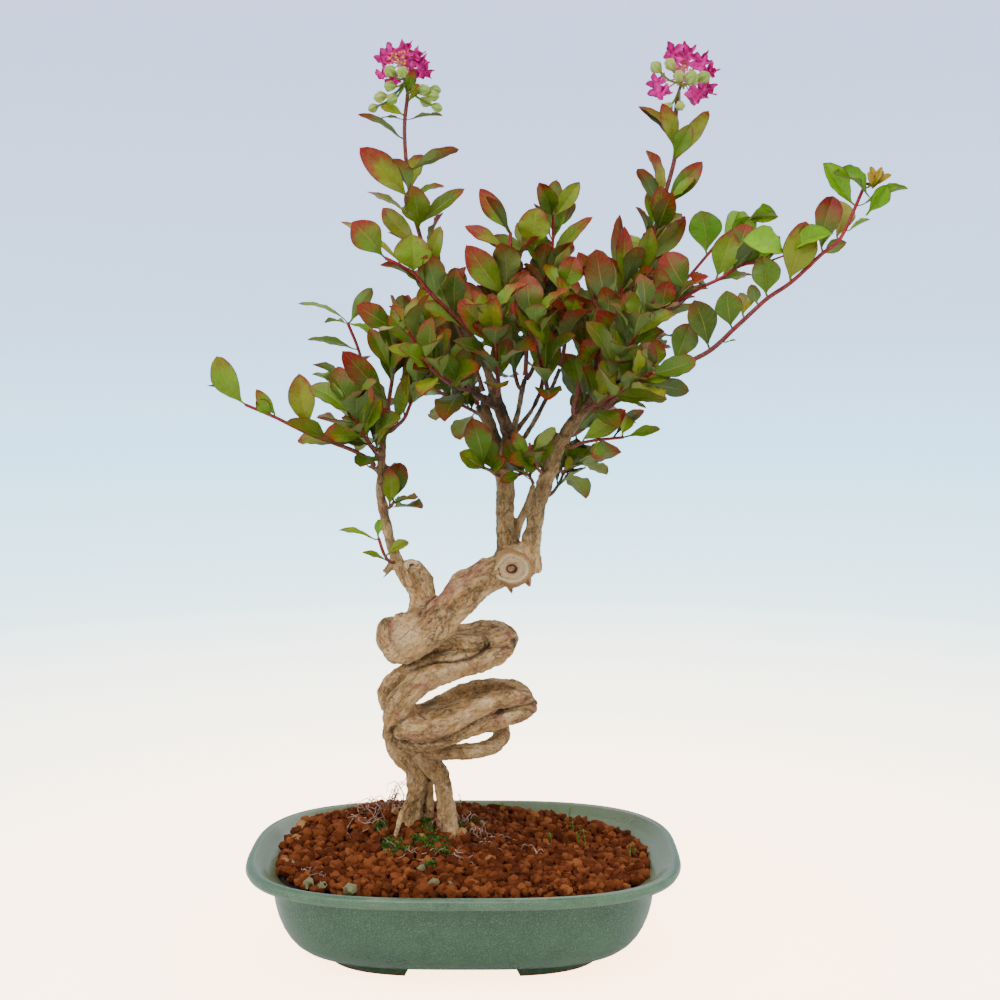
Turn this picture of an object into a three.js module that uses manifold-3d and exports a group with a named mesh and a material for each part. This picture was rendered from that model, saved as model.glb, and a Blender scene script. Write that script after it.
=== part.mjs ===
// Crepe myrtle bonsai: a trunk of coiled, grown-together strands with leafy shoots and two
// flower heads, standing in clay granules in a glazed oval pot on four feet.
// Millimetres, +Z up. Set out from the middle of the pot's foot, with the viewer on the -Y side.
import * as THREE from "three";
import { mergeVertices } from "three/addons/utils/BufferGeometryUtils.js";
import Module from "manifold-3d";

const wasm = await Module();
wasm.setup();

// Pot: rows are half length, half width, height
const POT_OUTSIDE = [
  [0, 0, 0],
  [83, 49, 0],
  [86, 51, 7],
  [93, 56.5, 8.5],
  [109, 70.5, 22],
  [115.5, 76.5, 50],
  [117.5, 78, 52.5],
  [129.5, 89, 56],
  [131, 90.5, 59.5],
  [128, 88, 62.2],
  [0, 0, 62.2],
];
const POT_INSIDE = [
  [0, 0, 12],
  [84, 46, 12],
  [97, 59, 13.5],
  [105, 66, 22],
  [113, 73, 54],
  [119, 79, 57.2],
  [124.5, 84.2, 62.3],
  [0, 0, 62.3],
];
const POT_CORNER = 3;
const POT_STEPS = 28;
const FOOT_RECESS = [77, 42, 6.5];
const FOOT_GAP_FRONT = 72;
const FOOT_GAP_SIDE = 45;
const FOOT_GAP_HEIGHT = 5;
const DRAIN_AT = 45;
const DRAIN_RADIUS = 8;
const DRAIN_SIDES = 16;
const DRAIN_CUT = 30;
const RIGHT_THROUGH = 200;

// Drain mesh: a small plastic square over each drain hole
const NET_SIZE = 26;
const NET_THICK = 1.2;
const NET_HOLE = 6;
const NET_AT = [-5, 5];

// Fit between neighbours that touch
const CLEAR = 0.3;
const ROOT_CLEAR = 0.4;

// Soil: level, mound round the trunk foot as middle x, y, spread x, y and rise, and relief
const SOIL_LEVEL = 53;
const SOIL_FRONT_RISE = 4;
const SOIL_FRONT_RUN = 80;
const SOIL_LEFT_RISE = 3;
const SOIL_LEFT_RUN = 119;
const SOIL_MOUND = [-30, 15, 55, 45, 14];
const SOIL_RELIEF = 0.8;
const SOIL_RINGS = 6;
const SOIL_STEPS = 24;
const SOIL_BLANK = [128, 88];
const SOIL_ABOVE = 90;

// Leaves and stems
const LEAF_THICK = 0.76;
const LEAF_STALK = 0.1;
const LEAF_ROWS = [0.34, 0.72];
const LEAF_OFF_STEM = 1.2;
const LEAF_ARCH = [0.03, 0.1];
const LEAF_FOLD = [0.2, 0.5];
const LEAF_RIPPLE = [0.05, 0.2];
const LEAF_WAVES = 9.4;
const LEAF_TAPER = 1.2;
const LEAF_ROUND = 0.75;
const STEM_REACH = 0.9;
const STEM_STEP = 4.2;
const STEM_RING = 18;
const MIN_STEM = 0.75;
const STEM_FOOT = 0.6;
const STEM_STEPS = 8;
const STEM_POST = 2;
const STUB_EXTRA = 0.35;
const SHORTEST_SHOOT = 6;
const WOOD_ROOM = 1.4;
const WOOD_POSTS = 6;
const THIN_WOOD = 3.3;
const TWIG_SIDES = 3;
const SEED = 2718;

// Wood: strands of the coiled trunk, its legs, limbs and twigs, as x, y, z, radius
const WOOD = {
  right_leg: [
    [-12, 6, 57, 5.4], [-12, 7, 72, 5], [-12, 8, 85, 5], [-15, 8, 99, 5], [-21, 6, 111, 5.4],
    [-28, 2, 121, 6], [-36, -4, 130, 6.5],
  ],
  left_leg: [
    [-35, 15, 59, 6.1], [-33, 16, 72, 5.5], [-31, 17, 88, 4.9], [-31, 16, 103, 4.9],
    [-29, 12, 115, 5.4], [-24, 6, 125, 4.8],
  ],
  side_root: [
    [-32, 12, 90, 2.4], [-38, 4, 82, 1.9], [-41, -2, 73, 1.7], [-43, -5, 66, 1.5],
  ],
  back_left: [
    [-32, 18, 104, 4.3], [-40, 22, 111, 5.5], [-45, 22, 121, 4.9], [-46, 18, 131, 4.9],
    [-43, 14, 140, 4.9],
  ],
  lower_loop: [
    [-24, 0, 122, 4.8], [-11, -8, 123, 4.7], [3, -10, 124, 4.7], [15, -6, 125, 4.7],
    [22, 4, 128, 4.8], [22, 16, 131, 4.9], [14, 27, 133, 4.9], [0, 34, 134, 5], [-18, 35, 130, 5],
    [-32, 29, 128, 4.9], [-42, 20, 126, 4.9],
  ],
  upper_ridge: [
    [-44, -2, 143, 6], [-38, -12, 139, 6.5], [-26, -22, 140, 5.8], [-11, -25, 143, 5.2],
    [4, -22, 150, 4.9], [19, -14, 155, 4.7], [32, -4, 155, 4.8], [38, 6, 152, 4.8],
  ],
  lower_ridge: [
    [-39, -8, 132, 5.3], [-23, -16, 131, 5.3], [-8, -20, 136, 5.2], [7, -20, 141, 4.7],
    [22, -12, 144, 5], [33, -4, 146, 5.3], [38, 4, 147, 5.4],
  ],
  top_strand: [
    [39, 8, 150, 4.8], [34, 18, 154, 4.6], [24, 27, 155, 4.9], [12, 32, 153, 5], [-2, 32, 150, 5],
    [-16, 28, 144, 4.9], [-28, 20, 141, 4.9], [-39, 10, 143, 5.4],
  ],
  middle_strand: [
    [-24, -6, 145, 4.7], [-8, -8, 149, 4.1], [7, -4, 152, 4.2], [22, 4, 153, 4.2],
    [34, 8, 152, 4.2],
  ],
  front_thick: [
    [-41, -6, 133, 6.5], [-41, -12, 145, 7.1], [-37, -16, 156, 7.6], [-29, -18, 165, 7.6],
    [-17, -16, 172, 7], [-3, -12, 175, 5.9], [10, -6, 178, 5.9], [22, 2, 182, 6], [26, 10, 186, 6],
  ],
  back_thin: [
    [-48, 10, 145, 3.6], [-49, 6, 155, 4.2], [-45, 2, 163, 4.5], [-36, -4, 171, 4.5],
    [-23, -10, 177, 4.4], [-9, -12, 181, 4.4], [3, -8, 182, 4.1], [11, 0, 184, 4.2],
  ],
  upper_loop: [
    [25, 8, 184, 6.6], [25, 18, 188, 7.3], [17, 26, 189, 8], [3, 30, 186, 8.7], [-13, 28, 184, 8],
    [-28, 20, 186, 7.3], [-39, 8, 191, 7.8],
  ],
  upper_trunk: [
    [-40, 6, 196, 8.4], [-42, -4, 190, 8.9], [-38, -12, 186, 8.2], [-29, -18, 192, 9.3],
    [-18, -18, 201, 10.5], [-8, -15, 212, 10.5], [3, -10, 222, 10.6], [15, -5, 230, 10.1],
    [27, 0, 234, 9.5], [36, 1, 235, 8.4],
  ],
  left_limb: [
    [-24, -10, 201, 7.7], [-24, -6, 216, 7.1], [-24, -5, 224, 6.5], [-28, -5, 232, 5.9],
    [-31, -7, 237, 5],
  ],
  left_branch: [
    [-27, -5, 220, 4.7], [-36, -4, 231, 3.6], [-41, -2, 242, 3], [-45, 0, 253, 2.8],
    [-48, 1, 268, 2.7], [-50, 1, 280, 2.7], [-49, 1, 292, 2.4], [-49, 1, 302, 2.2],
    [-48, 2, 311, 1.8], [-46, 3, 320, 1.6],
  ],
  left_stem: [
    [25, 2, 230, 8.4], [26, 4, 244, 6.6], [25, 5, 260, 5.4], [25, 6, 275, 5.4], [24, 7, 290, 5.4],
    [22, 8, 302, 4.8], [18, 8, 311, 3.9], [16, 9, 320, 3], [13, 12, 330, 2.4], [12, 14, 338, 1.8],
  ],
  right_stem: [
    [39, 0, 232, 7.8], [40, -2, 245, 6], [42, -3, 258, 4.8], [45, -4, 273, 4.8],
    [49, -5, 288, 4.7], [53, -6, 300, 4.7], [58, -7, 310, 4.1], [66, -8, 324, 3.3],
    [74, -10, 332, 2.9], [79, -12, 340, 2.4], [84, -13, 347, 1.8],
  ],
  middle_stem: [
    [29, 6, 245, 3.6], [33, 8, 259, 2.4], [37, 9, 268, 2.1], [40, 9, 276, 1.8], [42, 8, 284, 1.4],
  ],
  twig_back_left: [
    [22, 8, 302, 3.6], [18, 14, 312, 2.7], [13, 20, 322, 2.4], [8, 26, 331, 1.8],
  ],
  twig_tall: [
    [25, 4, 298, 4.2], [27, 2, 311, 3.6], [24, 0, 323, 3.6], [20, -2, 335, 3.3], [17, -4, 344, 3],
    [14, -5, 354, 2.4], [12, -5, 360, 1.9],
  ],
  twig_mid: [
    [27, 5, 304, 2.4], [30, 8, 317, 2], [33, 10, 329, 1.8], [35, 12, 340, 1.7], [37, 12, 348, 1.5],
  ],
  twig_left: [
    [22, -1, 328, 2.4], [14, -3, 335, 2.1], [4, -6, 341, 1.8], [-5, -8, 345, 1.5],
  ],
  twig_right: [
    [25, 2, 300, 2.4], [34, -3, 310, 1.8], [41, -8, 321, 1.7], [48, -10, 334, 1.5],
    [53, -10, 344, 1.4], [57, -10, 354, 1.3],
  ],
  twig_back: [
    [27, 6, 311, 2.4], [34, 20, 319, 1.8], [42, 32, 329, 1.6], [47, 40, 339, 1.4],
  ],
  twig_back_right: [
    [53, -6, 300, 3], [58, 6, 307, 2.4], [66, 18, 316, 1.8], [74, 28, 327, 1.5],
  ],
};
const SOIL_ROOTS = ["right_leg", "left_leg", "side_root"];

// Shoots: stem radius at foot and tip, route, crossed pairs as count, from, to along the stem,
// and leaves set by hand as place along the stem, tip x, y, z, width, and how the upper face
// is turned: 0 up, 90 to the viewer, -90 away
const SHOOTS = {
  far_left: {
    radius: [1.3, 0.7],
    route: [
      [-49, 1, 291], [-61, -5, 303], [-91, -14, 316], [-108, -19, 325], [-126, -22, 333],
    ],
    leaves: [
      [1, -141, -28, 361, 15, 90], [1, -153, -25, 343, 8, 10], [0.8, -119, -25, 336, 8, 80],
      [0.8, -107, -11, 335, 7, 60], [0.57, -95, -18, 351, 16, 90], [0.42, -102, -21, 323, 11, 55],
      [0.37, -99, -1, 311, 12, 40],
    ],
  },
  up_left: {
    radius: [1.2, 0.7],
    route: [
      [-49, 1, 303], [-55, -6, 309], [-60, -10, 318], [-65, -15, 338],
    ],
    pairs: [1, 0.2, 0.6],
    leaves: [
      [0.76, -75, -19, 355, 12, 85], [0.57, -66, -23, 340, 11, 60],
    ],
  },
  mid_left: {
    radius: [1.2, 0.7],
    route: [
      [-46, 3, 320], [-45, 0, 330], [-40, -9, 358], [-38, -12, 378],
    ],
    pairs: [1, 0.3, 0.7],
    leaves: [
      [0.25, -70, -10, 364, 15, 90], [0.5, -36, -10, 371, 13, 80], [0.97, -61, -20, 390, 14, 70],
      [0.99, -35, -8, 397, 12, -80], [0.57, -55, 0, 377, 11, 80],
    ],
  },
  thin_left: {
    radius: [1, 0.5],
    route: [
      [-48, 2, 311], [-52, 9, 322], [-57, 10, 338], [-63, 8, 365], [-69, 4, 381],
    ],
    leaves: [
      [0.99, -98, 2, 392, 7, 20], [1, -55, 8, 402, 9, -70], [0.98, -84, 8, 381, 7, 0],
      [0.97, -53, 10, 374, 8, 30], [0.77, -93, 4, 371, 8, 30],
    ],
  },
  right_of_left: {
    radius: [1.1, 0.6],
    route: [
      [-47, 2, 314], [-35, -10, 324], [-30, -15, 334], [-24, -17, 343],
    ],
    pairs: [1, 0.6, 1],
    leaves: [
      [0.75, -16, -21, 361, 10, 70], [0.31, -31, -14, 352, 9, 60], [0.51, -33, -3, 345, 9, 50],
    ],
  },
  front_left: {
    radius: [1.1, 0.6],
    route: [
      [-49, 1, 298], [-55, -28, 313], [-63, -44, 331],
    ],
    pairs: [4, 0.1, 1.08],
    leaves: [],
  },
  back_left: {
    radius: [1.1, 0.6],
    route: [
      [-49, 2, 307], [-53, 16, 313], [-62, 33, 323], [-71, 46, 335], [-75, 50, 344],
    ],
    pairs: [4, 0.1, 1.08],
    leaves: [],
  },
  basal: {
    radius: [0.9, 0.5],
    route: [
      [-39, -3, 238], [-45, -9, 240], [-50, -14, 254],
    ],
    leaves: [
      [0.97, -73, -17, 259, 6, 20], [0.97, -49, -12, 265, 5, 80], [0.28, -60, -11, 245, 5, 30],
      [0.49, -33, 5, 250, 7, 60],
    ],
  },
  bend_left: {
    radius: [1.5, 0.7],
    route: [
      [12, -5, 360], [3, -12, 376], [-19, -19, 398], [-29, -21, 409], [-44, -23, 417],
    ],
    leaves: [
      [1, -62, -29, 437, 18, 85], [0.79, -28, -29, 430, 22, 95], [0.62, -14, -15, 414, 17, -80],
      [0.88, -71, -8, 439, 8, 20], [0.71, -12, -24, 435, 10, 60], [0.43, -20, -6, 416, 13, 70],
      [0.37, -3, -27, 411, 13, 80],
    ],
  },
  flower_left: {
    radius: [1.3, 1],
    route: [
      [12, 14, 338], [8, 14, 352], [1, 12, 368], [-8, 10, 389], [-20, 8, 415], [-27, 5, 437],
      [-31, 2, 455], [-34, 0, 490], [-32, 0, 513],
    ],
    leaves: [
      [0.68, -60, -3, 482, 16, 85], [0.76, -2, -3, 481, 9, -40], [0.86, -61, -3, 501, 7, -20],
      [0.92, -12, -3, 502, 7, 10], [0.91, -48, 3, 506, 5, 20], [0.98, -24, -2, 516, 6, 50],
      [0.69, -11, 6, 461, 8, 30], [0.59, 1, 2, 459, 10, 60], [0.62, -57, 8, 458, 8, 20],
      [0.58, -32, 17, 454, 12, 90], [0.52, -49, 15, 450, 13, 60],
    ],
  },
  centre_top: {
    radius: [1.5, 0.8],
    route: [
      [14, -5, 354], [19, -10, 365], [22, -9, 382], [27, -7, 411], [28, -5, 433],
    ],
    pairs: [1, 0.2, 0.5],
    leaves: [
      [1, 10, -8, 458, 11, 85], [1, 32, -1, 461, 11, 80], [1, 14, -17, 450, 6, -60],
      [0.88, 1, -2, 437, 9, 60], [0.55, 2, -14, 425, 17, 88], [0.4, -5, -17, 404, 14, 80],
      [0.45, 39, -15, 410, 9, 70], [0.83, 17, 2, 441, 7, 60],
    ],
  },
  centre_mid: {
    radius: [1.4, 0.7],
    route: [
      [37, 12, 348], [38, 10, 370], [39, 6, 388], [50, 0, 410], [39, -4, 424],
    ],
    pairs: [2, 0.2, 0.7],
    leaves: [
      [0.99, 43, -9, 447, 19, 92], [0.99, 15, -9, 430, 10, 70], [0.83, 76, -5, 442, 9, 50],
      [0.89, 32, 12, 441, 12, 80],
    ],
  },
  centre_back: {
    radius: [1.3, 0.6],
    route: [
      [36, 12, 343], [44, 24, 360], [49, 30, 386], [52, 32, 408], [54, 32, 426], [54, 30, 447],
    ],
    pairs: [3, 0.1, 0.7],
    leaves: [
      [1, 56, 32, 468, 11, -85], [0.99, 45, 24, 464, 12, 85], [1, 70, 26, 466, 11, 70],
      [0.93, 68, 23, 454, 8, -60], [0.76, 66, 26, 433, 11, 80],
    ],
  },
  centre_right: {
    radius: [1.3, 0.7],
    route: [
      [57, -10, 354], [59, -14, 363], [60, -16, 379], [58, -18, 398],
    ],
    pairs: [1, 0.2, 0.5],
    leaves: [
      [0.98, 65, -22, 418, 15, 85], [1, 48, -14, 415, 8, 60], [0.66, 67, -25, 397, 12, 80],
      [0.52, 48, -22, 395, 13, 85],
    ],
  },
  centre_front: {
    radius: [1.3, 0.7],
    route: [
      [20, -2, 335], [21, -18, 343], [20, -34, 356], [18, -50, 385],
    ],
    pairs: [4, 0.2, 1.08],
    leaves: [
      [0.73, -1, -47, 392, 14, 85],
    ],
  },
  mid_front: {
    radius: [1.3, 0.7],
    route: [
      [49, -10, 336], [49, -24, 344], [45, -36, 358], [40, -48, 382],
    ],
    pairs: [4, 0.1, 1.08],
    leaves: [
      [0.84, 39, -50, 394, 19, 92],
    ],
  },
  right_inner: {
    radius: [1.3, 0.7],
    route: [
      [75, -10, 334], [76, -19, 348], [80, -23, 365], [87, -24, 393],
    ],
    pairs: [2, 0.3, 0.8],
    leaves: [
      [0.9, 76, -30, 421, 17, -80], [0.89, 81, -32, 401, 10, 85], [0.45, 69, -32, 370, 15, 85],
    ],
  },
  right_upper: {
    radius: [1.3, 0.7],
    route: [
      [82, -13, 344], [85, -7, 358], [91, -1, 378], [94, 2, 394], [94, 2, 402],
    ],
    pairs: [2, 0.3, 0.9],
    leaves: [
      [1, 95, -1, 437, 10, 80], [1, 103, -4, 423, 11, -80], [0.99, 93, 10, 445, 8, -80],
      [0.97, 106, 10, 438, 12, 80],
    ],
  },
  right_red: {
    radius: [1.4, 0.8],
    route: [
      [84, -13, 347], [107, -16, 378], [132, -18, 397], [148, -19, 405], [154, -20, 410],
      [161, -20, 413],
    ],
    pairs: [1, 0.1, 0.3],
    leaves: [
      [0.19, 77, -23, 387, 14, 85], [0.37, 90, -22, 397, 15, 88], [0.51, 118, -23, 398, 13, 88],
      [0.67, 118, -23, 421, 19, 90], [0.77, 131, -25, 406, 8, 60], [0.81, 146, -16, 416, 6, 80],
      [0.87, 160, -14, 415, 5, 20], [1, 182, -24, 429, 10, 100], [1, 202, -17, 424, 8, 40],
    ],
  },
  right_side: {
    radius: [1.1, 0.6],
    route: [
      [80, -12, 341], [90, 2, 354], [109, 14, 377], [123, 20, 395], [137, 22, 410], [155, 20, 431],
      [169, 18, 442],
    ],
    pairs: [2, 0.2, 0.6],
    leaves: [
      [0.79, 142, 17, 448, 20, 90], [0.88, 175, 28, 448, 12, 60], [0.93, 172, 15, 443, 6, 60],
      [1, 188, 14, 444, 9, 80],
    ],
  },
  right_far: {
    radius: [1.7, 0.8],
    route: [
      [66, -8, 324], [77, -14, 329], [104, -19, 346], [139, -26, 362], [155, -30, 376],
      [174, -34, 394], [187, -36, 403], [204, -37, 419], [214, -37, 428], [227, -35, 457],
    ],
    leaves: [
      [0.94, 202, -40, 468, 14, 75], [0.94, 248, -39, 455, 7, -20], [0.99, 222, -37, 465, 4, 70],
      [0.99, 237, -36, 464, 5, 60], [0.79, 210, -42, 451, 15, 90], [0.84, 220, -33, 445, 13, 85],
      [0.87, 229, -40, 437, 5, 20], [0.79, 218, -33, 425, 8, -70], [0.68, 193, -41, 430, 19, 90],
      [0.61, 169, -39, 417, 17, 90], [0.58, 166, -24, 402, 8, -80], [0.49, 150, -35, 398, 16, 90],
      [0.53, 166, -23, 396, 10, 80], [0.41, 133, -32, 393, 17, 90], [0.45, 156, -30, 370, 3, 20],
      [0.31, 132, -28, 380, 16, 80], [0.24, 109, -24, 372, 16, 85], [0.22, 131, -27, 347, 11, -80],
      [0.13, 109, -27, 351, 7, 30], [0.14, 107, -20, 331, 6, 20],
    ],
  },
  flower_right: {
    radius: [1.3, 1],
    route: [
      [77, -11, 337], [81, 0, 351], [93, 6, 377], [102, 8, 397], [108, 6, 417], [117, 2, 449],
      [124, 0, 476], [124, 0, 490], [125, 0, 511],
    ],
    pairs: [1, 0.3, 0.4],
    leaves: [
      [0.66, 102, -2, 470, 10, -30], [0.66, 140, -3, 474, 12, 80], [0.84, 115, -5, 506, 10, 95],
      [0.81, 144, 3, 504, 10, 60], [0.87, 103, 6, 507, 7, 30], [0.79, 116, 8, 495, 12, 85],
      [0.79, 132, 9, 494, 11, 85], [0.59, 120, -3, 454, 13, 85], [0.58, 111, 8, 459, 10, 60],
      [0.43, 110, 2, 436, 12, 85], [0.48, 132, 10, 444, 13, 80],
    ],
  },
  low_right: {
    radius: [1.1, 0.6],
    route: [
      [55, -6, 304], [72, -16, 311], [94, -20, 314],
    ],
    leaves: [
      [0.43, 95, -21, 336, 13, 70], [1, 97, -23, 326, 9, 85], [0.85, 108, -18, 329, 7, 70],
      [0.98, 115, -23, 319, 7, 50], [0.63, 78, -20, 301, 8, 90], [0.35, 76, -8, 328, 12, 70],
    ],
  },
  under_right: {
    radius: [1.1, 0.6],
    route: [
      [70, -9, 328], [76, -22, 332], [86, -36, 339], [107, -58, 352],
    ],
    pairs: [4, 0.1, 1.08],
    leaves: [],
  },
  back_right: {
    radius: [1.2, 0.6],
    route: [
      [66, -8, 324], [72, 6, 332], [88, 24, 350], [106, 40, 371], [122, 48, 385],
    ],
    pairs: [6, 0.1, 1.06],
    leaves: [],
  },
  back_right_high: {
    radius: [1.2, 0.6],
    route: [
      [74, 28, 327], [84, 34, 348], [94, 40, 378], [104, 46, 405], [110, 50, 425],
    ],
    pairs: [6, 0.1, 1.06],
    leaves: [],
  },
  back_right_low: {
    radius: [1.1, 0.6],
    route: [
      [63, 14, 313], [70, 32, 314], [82, 46, 322], [98, 60, 334], [112, 68, 346],
    ],
    pairs: [5, 0.1, 1.06],
    leaves: [],
  },
  front_right: {
    radius: [1.2, 0.6],
    route: [
      [80, -12, 341], [86, -28, 348], [92, -46, 362], [98, -58, 374], [102, -65, 384],
    ],
    pairs: [5, 0.1, 1.08],
    leaves: [],
  },
  back_centre: {
    radius: [1.2, 0.6],
    route: [
      [47, 40, 339], [50, 50, 356], [55, 68, 400], [56, 72, 415],
    ],
    pairs: [5, 0.1, 1.06],
    leaves: [],
  },
  back_centre_left: {
    radius: [1.2, 0.6],
    route: [
      [8, 26, 331], [4, 42, 346], [0, 58, 365], [-4, 70, 384], [-7, 76, 399],
    ],
    pairs: [5, 0.1, 1.06],
    leaves: [],
  },
  back_left_high: {
    radius: [1.2, 0.6],
    route: [
      [13, 12, 331], [4, 24, 341], [-10, 43, 357], [-21, 56, 375], [-28, 61, 390],
    ],
    pairs: [5, 0.1, 1.06],
    leaves: [],
  },
  back_mid: {
    radius: [1.2, 0.6],
    route: [
      [35, 12, 339], [31, 28, 350], [28, 48, 372], [26, 62, 396], [26, 68, 412],
    ],
    pairs: [5, 0.1, 1.06],
    leaves: [],
  },
  inner_left: {
    radius: [1.1, 0.6],
    route: [
      [-5, -8, 345], [-11, -12, 350], [-18, -22, 355], [-24, -30, 364], [-30, -36, 375],
    ],
    pairs: [3, 0.3, 1.08],
    leaves: [
      [0.35, -29, -27, 375, 11, 80], [0.06, -16, -23, 363, 8, 60],
    ],
  },
  inner_front_left: {
    radius: [1.1, 0.6],
    route: [
      [5, -6, 341], [0, -20, 342], [-15, -46, 352], [-21, -54, 360],
    ],
    pairs: [4, 0.1, 1.08],
    leaves: [],
  },
  back_twig_right: {
    radius: [1.1, 0.6],
    route: [
      [68, 22, 320], [70, 36, 334], [76, 50, 356], [83, 60, 376], [87, 64, 391],
    ],
    pairs: [5, 0.1, 1.06],
    leaves: [],
  },
  low_back: {
    radius: [1, 0.6],
    route: [
      [12, 21, 324], [4, 36, 328], [-8, 54, 333], [-19, 68, 340],
    ],
    pairs: [4, 0.1, 1.08],
    leaves: [],
  },
  low_mid_left: {
    radius: [0.9, 0.5],
    route: [
      [24, 7, 287], [14, -12, 295], [9, -16, 297],
    ],
    leaves: [
      [0.71, -2, -14, 305, 12, 60], [0.71, 25, -17, 302, 8, 80],
    ],
  },
  low_mid_right: {
    radius: [0.9, 0.5],
    route: [
      [42, 8, 284], [40, 0, 289], [36, -8, 292], [32, -12, 291],
    ],
    leaves: [
      [0.77, 22, -14, 287, 7, 60], [0.85, 42, -16, 299, 7, 70],
    ],
  },
  low_stem: {
    radius: [0.9, 0.5],
    route: [
      [49, -5, 288], [41, -22, 302], [39, -26, 311],
    ],
    pairs: [1, 0.3, 0.6],
    leaves: [
      [0.65, 29, -24, 317, 8, 70], [0.85, 54, -27, 320, 8, -60],
    ],
  },
  left_spur: {
    radius: [0.8, 0.4],
    route: [
      [-48, 1, 271], [-44, -4, 271], [-41, -7, 275],
    ],
    pairs: [1, 0.8, 1.2],
    leaves: [],
  },
  low_back_right: {
    radius: [1, 0.6],
    route: [
      [51, -5, 294], [60, 6, 292], [66, 20, 293], [71, 33, 298],
    ],
    pairs: [3, 0.3, 1.1],
    leaves: [],
  },
  side_low: {
    radius: [1, 0.6],
    route: [
      [46, -4, 276], [54, 8, 279], [58, 20, 284], [62, 30, 291],
    ],
    pairs: [2, 0.4, 1.2],
    leaves: [],
  },
  right_tuft: {
    radius: [1.2, 0.6],
    route: [
      [61, -8, 314], [66, -15, 334], [70, -16, 360], [74, -14, 384], [76, -13, 402],
    ],
    pairs: [3, 0.3, 0.9],
    leaves: [
      [1, 67, -16, 421, 9, 80], [0.98, 64, -8, 430, 9, 80], [0.95, 79, -7, 422, 11, 80],
    ],
  },
};

// Flower heads: stalk foot, hub, petal tips with widths, and buds as x, y, z, radius and
// place along the stalk
const HUB_RADIUS = 2.6;
const STALK_RADIUS = 1;
const BUD_STALK = 0.7;
const PETAL_CLAW = 0.3;
const PETAL_CLAW_HALF = 1.2;
const PETAL_BROAD = 0.66;
const PETAL_NOTCH = 0.93;
const PETAL_END = 0.36;
const PETAL_WAVE = 1.2;
const PETAL_WAVES = 5;
const PETAL_FACING = [-1, 0.6];
const PETAL_POST = 0.75;
const PETAL_POST_ROOM = 4;
const BUD_POST = 0.75;
const BUD_POSTS = [0, 0.2, 0.4, 0.6, 0.8];
const STALK_SIDES = 5;
const HEADS = {
  left: {
    foot: [-32, 0, 513],
    hub: [-33.4, -1, 525.4],
    petals: [
      [-40.5, -6, 538.5, 13], [-31.8, 2, 543.1, 14], [-22.7, -4, 536.1, 13], [-18, 6, 532, 13],
      [-17, -4, 521.4, 13], [-48.9, 4, 534.4, 13], [-47.5, -2, 525, 13], [-36, 14, 536, 13],
      [-27, -13, 530, 13],
    ],
    buds: [
      [-41.2, -12, 523.8, 3, 0.5], [-34.2, -14, 522.8, 3, 0.6], [-22.1, -6, 514.3, 3, 0.4],
      [-16.2, 4, 516, 2.8, 0.5], [-17, -4, 511.4, 2.9, 0.35], [-21.6, 4, 509.4, 2.8, 0.35],
      [-14.8, -2, 505, 2.6, 0.4], [-47.8, -4, 510.7, 3, 0.35], [-40.5, -8, 508.8, 2.9, 0.35],
      [-42, -6, 516.4, 2.8, 0.4], [-43.8, 4, 506.5, 2.6, 0.4], [-52.3, 0, 505.1, 2.4, 0.4],
    ],
  },
  right: {
    foot: [125, 0, 511],
    hub: [128.8, 4, 522.9],
    petals: [
      [120.1, 6, 541.6, 13], [131.4, 8, 542.6, 13], [145.9, 2, 532.7, 13], [146.4, 10, 521.4, 13],
      [139, 8, 508, 12], [111.3, 8, 518.9, 12], [114.2, 10, 510.5, 12], [134.3, 18, 535.6, 13],
    ],
    buds: [
      [111.9, -6, 527.1, 3, 0.7], [119.8, -8, 528.4, 3, 0.9], [124.5, -12, 520.9, 3, 0.6],
      [132, -12, 519.8, 3.5, 0.6], [139.7, -6, 521.5, 3.1, 0.7], [119.4, -4, 504.9, 2.6, 0.4],
      [126, -7, 505, 2.6, 0.4],
    ],
  },
};

// Vectors
const plus = (a, b, k = 1) => [a[0] + k * b[0], a[1] + k * b[1], a[2] + k * b[2]];
const minus = (a, b) => plus(a, b, -1);
const times = (a, k) => [a[0] * k, a[1] * k, a[2] * k];
const dot = (a, b) => a[0] * b[0] + a[1] * b[1] + a[2] * b[2];
const cross = (a, b) => [
  a[1] * b[2] - a[2] * b[1],
  a[2] * b[0] - a[0] * b[2],
  a[0] * b[1] - a[1] * b[0],
];
const size = (a) => Math.hypot(a[0], a[1], a[2]);
const unit = (a) => times(a, 1 / size(a));
const radians = (degrees) => (degrees * Math.PI) / 180;

// A repeatable run of numbers between 0 and 1
function seeded(seed) {
  let state = seed >>> 0;
  return () => {
    state = (state + 0x6d2b79f5) >>> 0;
    let t = Math.imul(state ^ (state >>> 15), state | 1);
    t ^= t + Math.imul(t ^ (t >>> 7), t | 61);
    return ((t ^ (t >>> 14)) >>> 0) / 4294967296;
  };
}

const between = ([low, high], random) => low + (high - low) * random();

// A line of points through hand-set ones
function smooth(points, steps) {
  const corners = points.map(([x, y, z]) => new THREE.Vector3(x, y, z));
  const curve = new THREE.CatmullRomCurve3(corners, false, "catmullrom", 0.5);
  return curve.getPoints(steps * (points.length - 1)).map((point) => point.toArray());
}

function geometryOf(positions, triangles) {
  const geometry = new THREE.BufferGeometry();
  geometry.setAttribute("position", new THREE.Float32BufferAttribute(positions.flat(), 3));
  geometry.setIndex(triangles.flat());
  return geometry;
}

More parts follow.
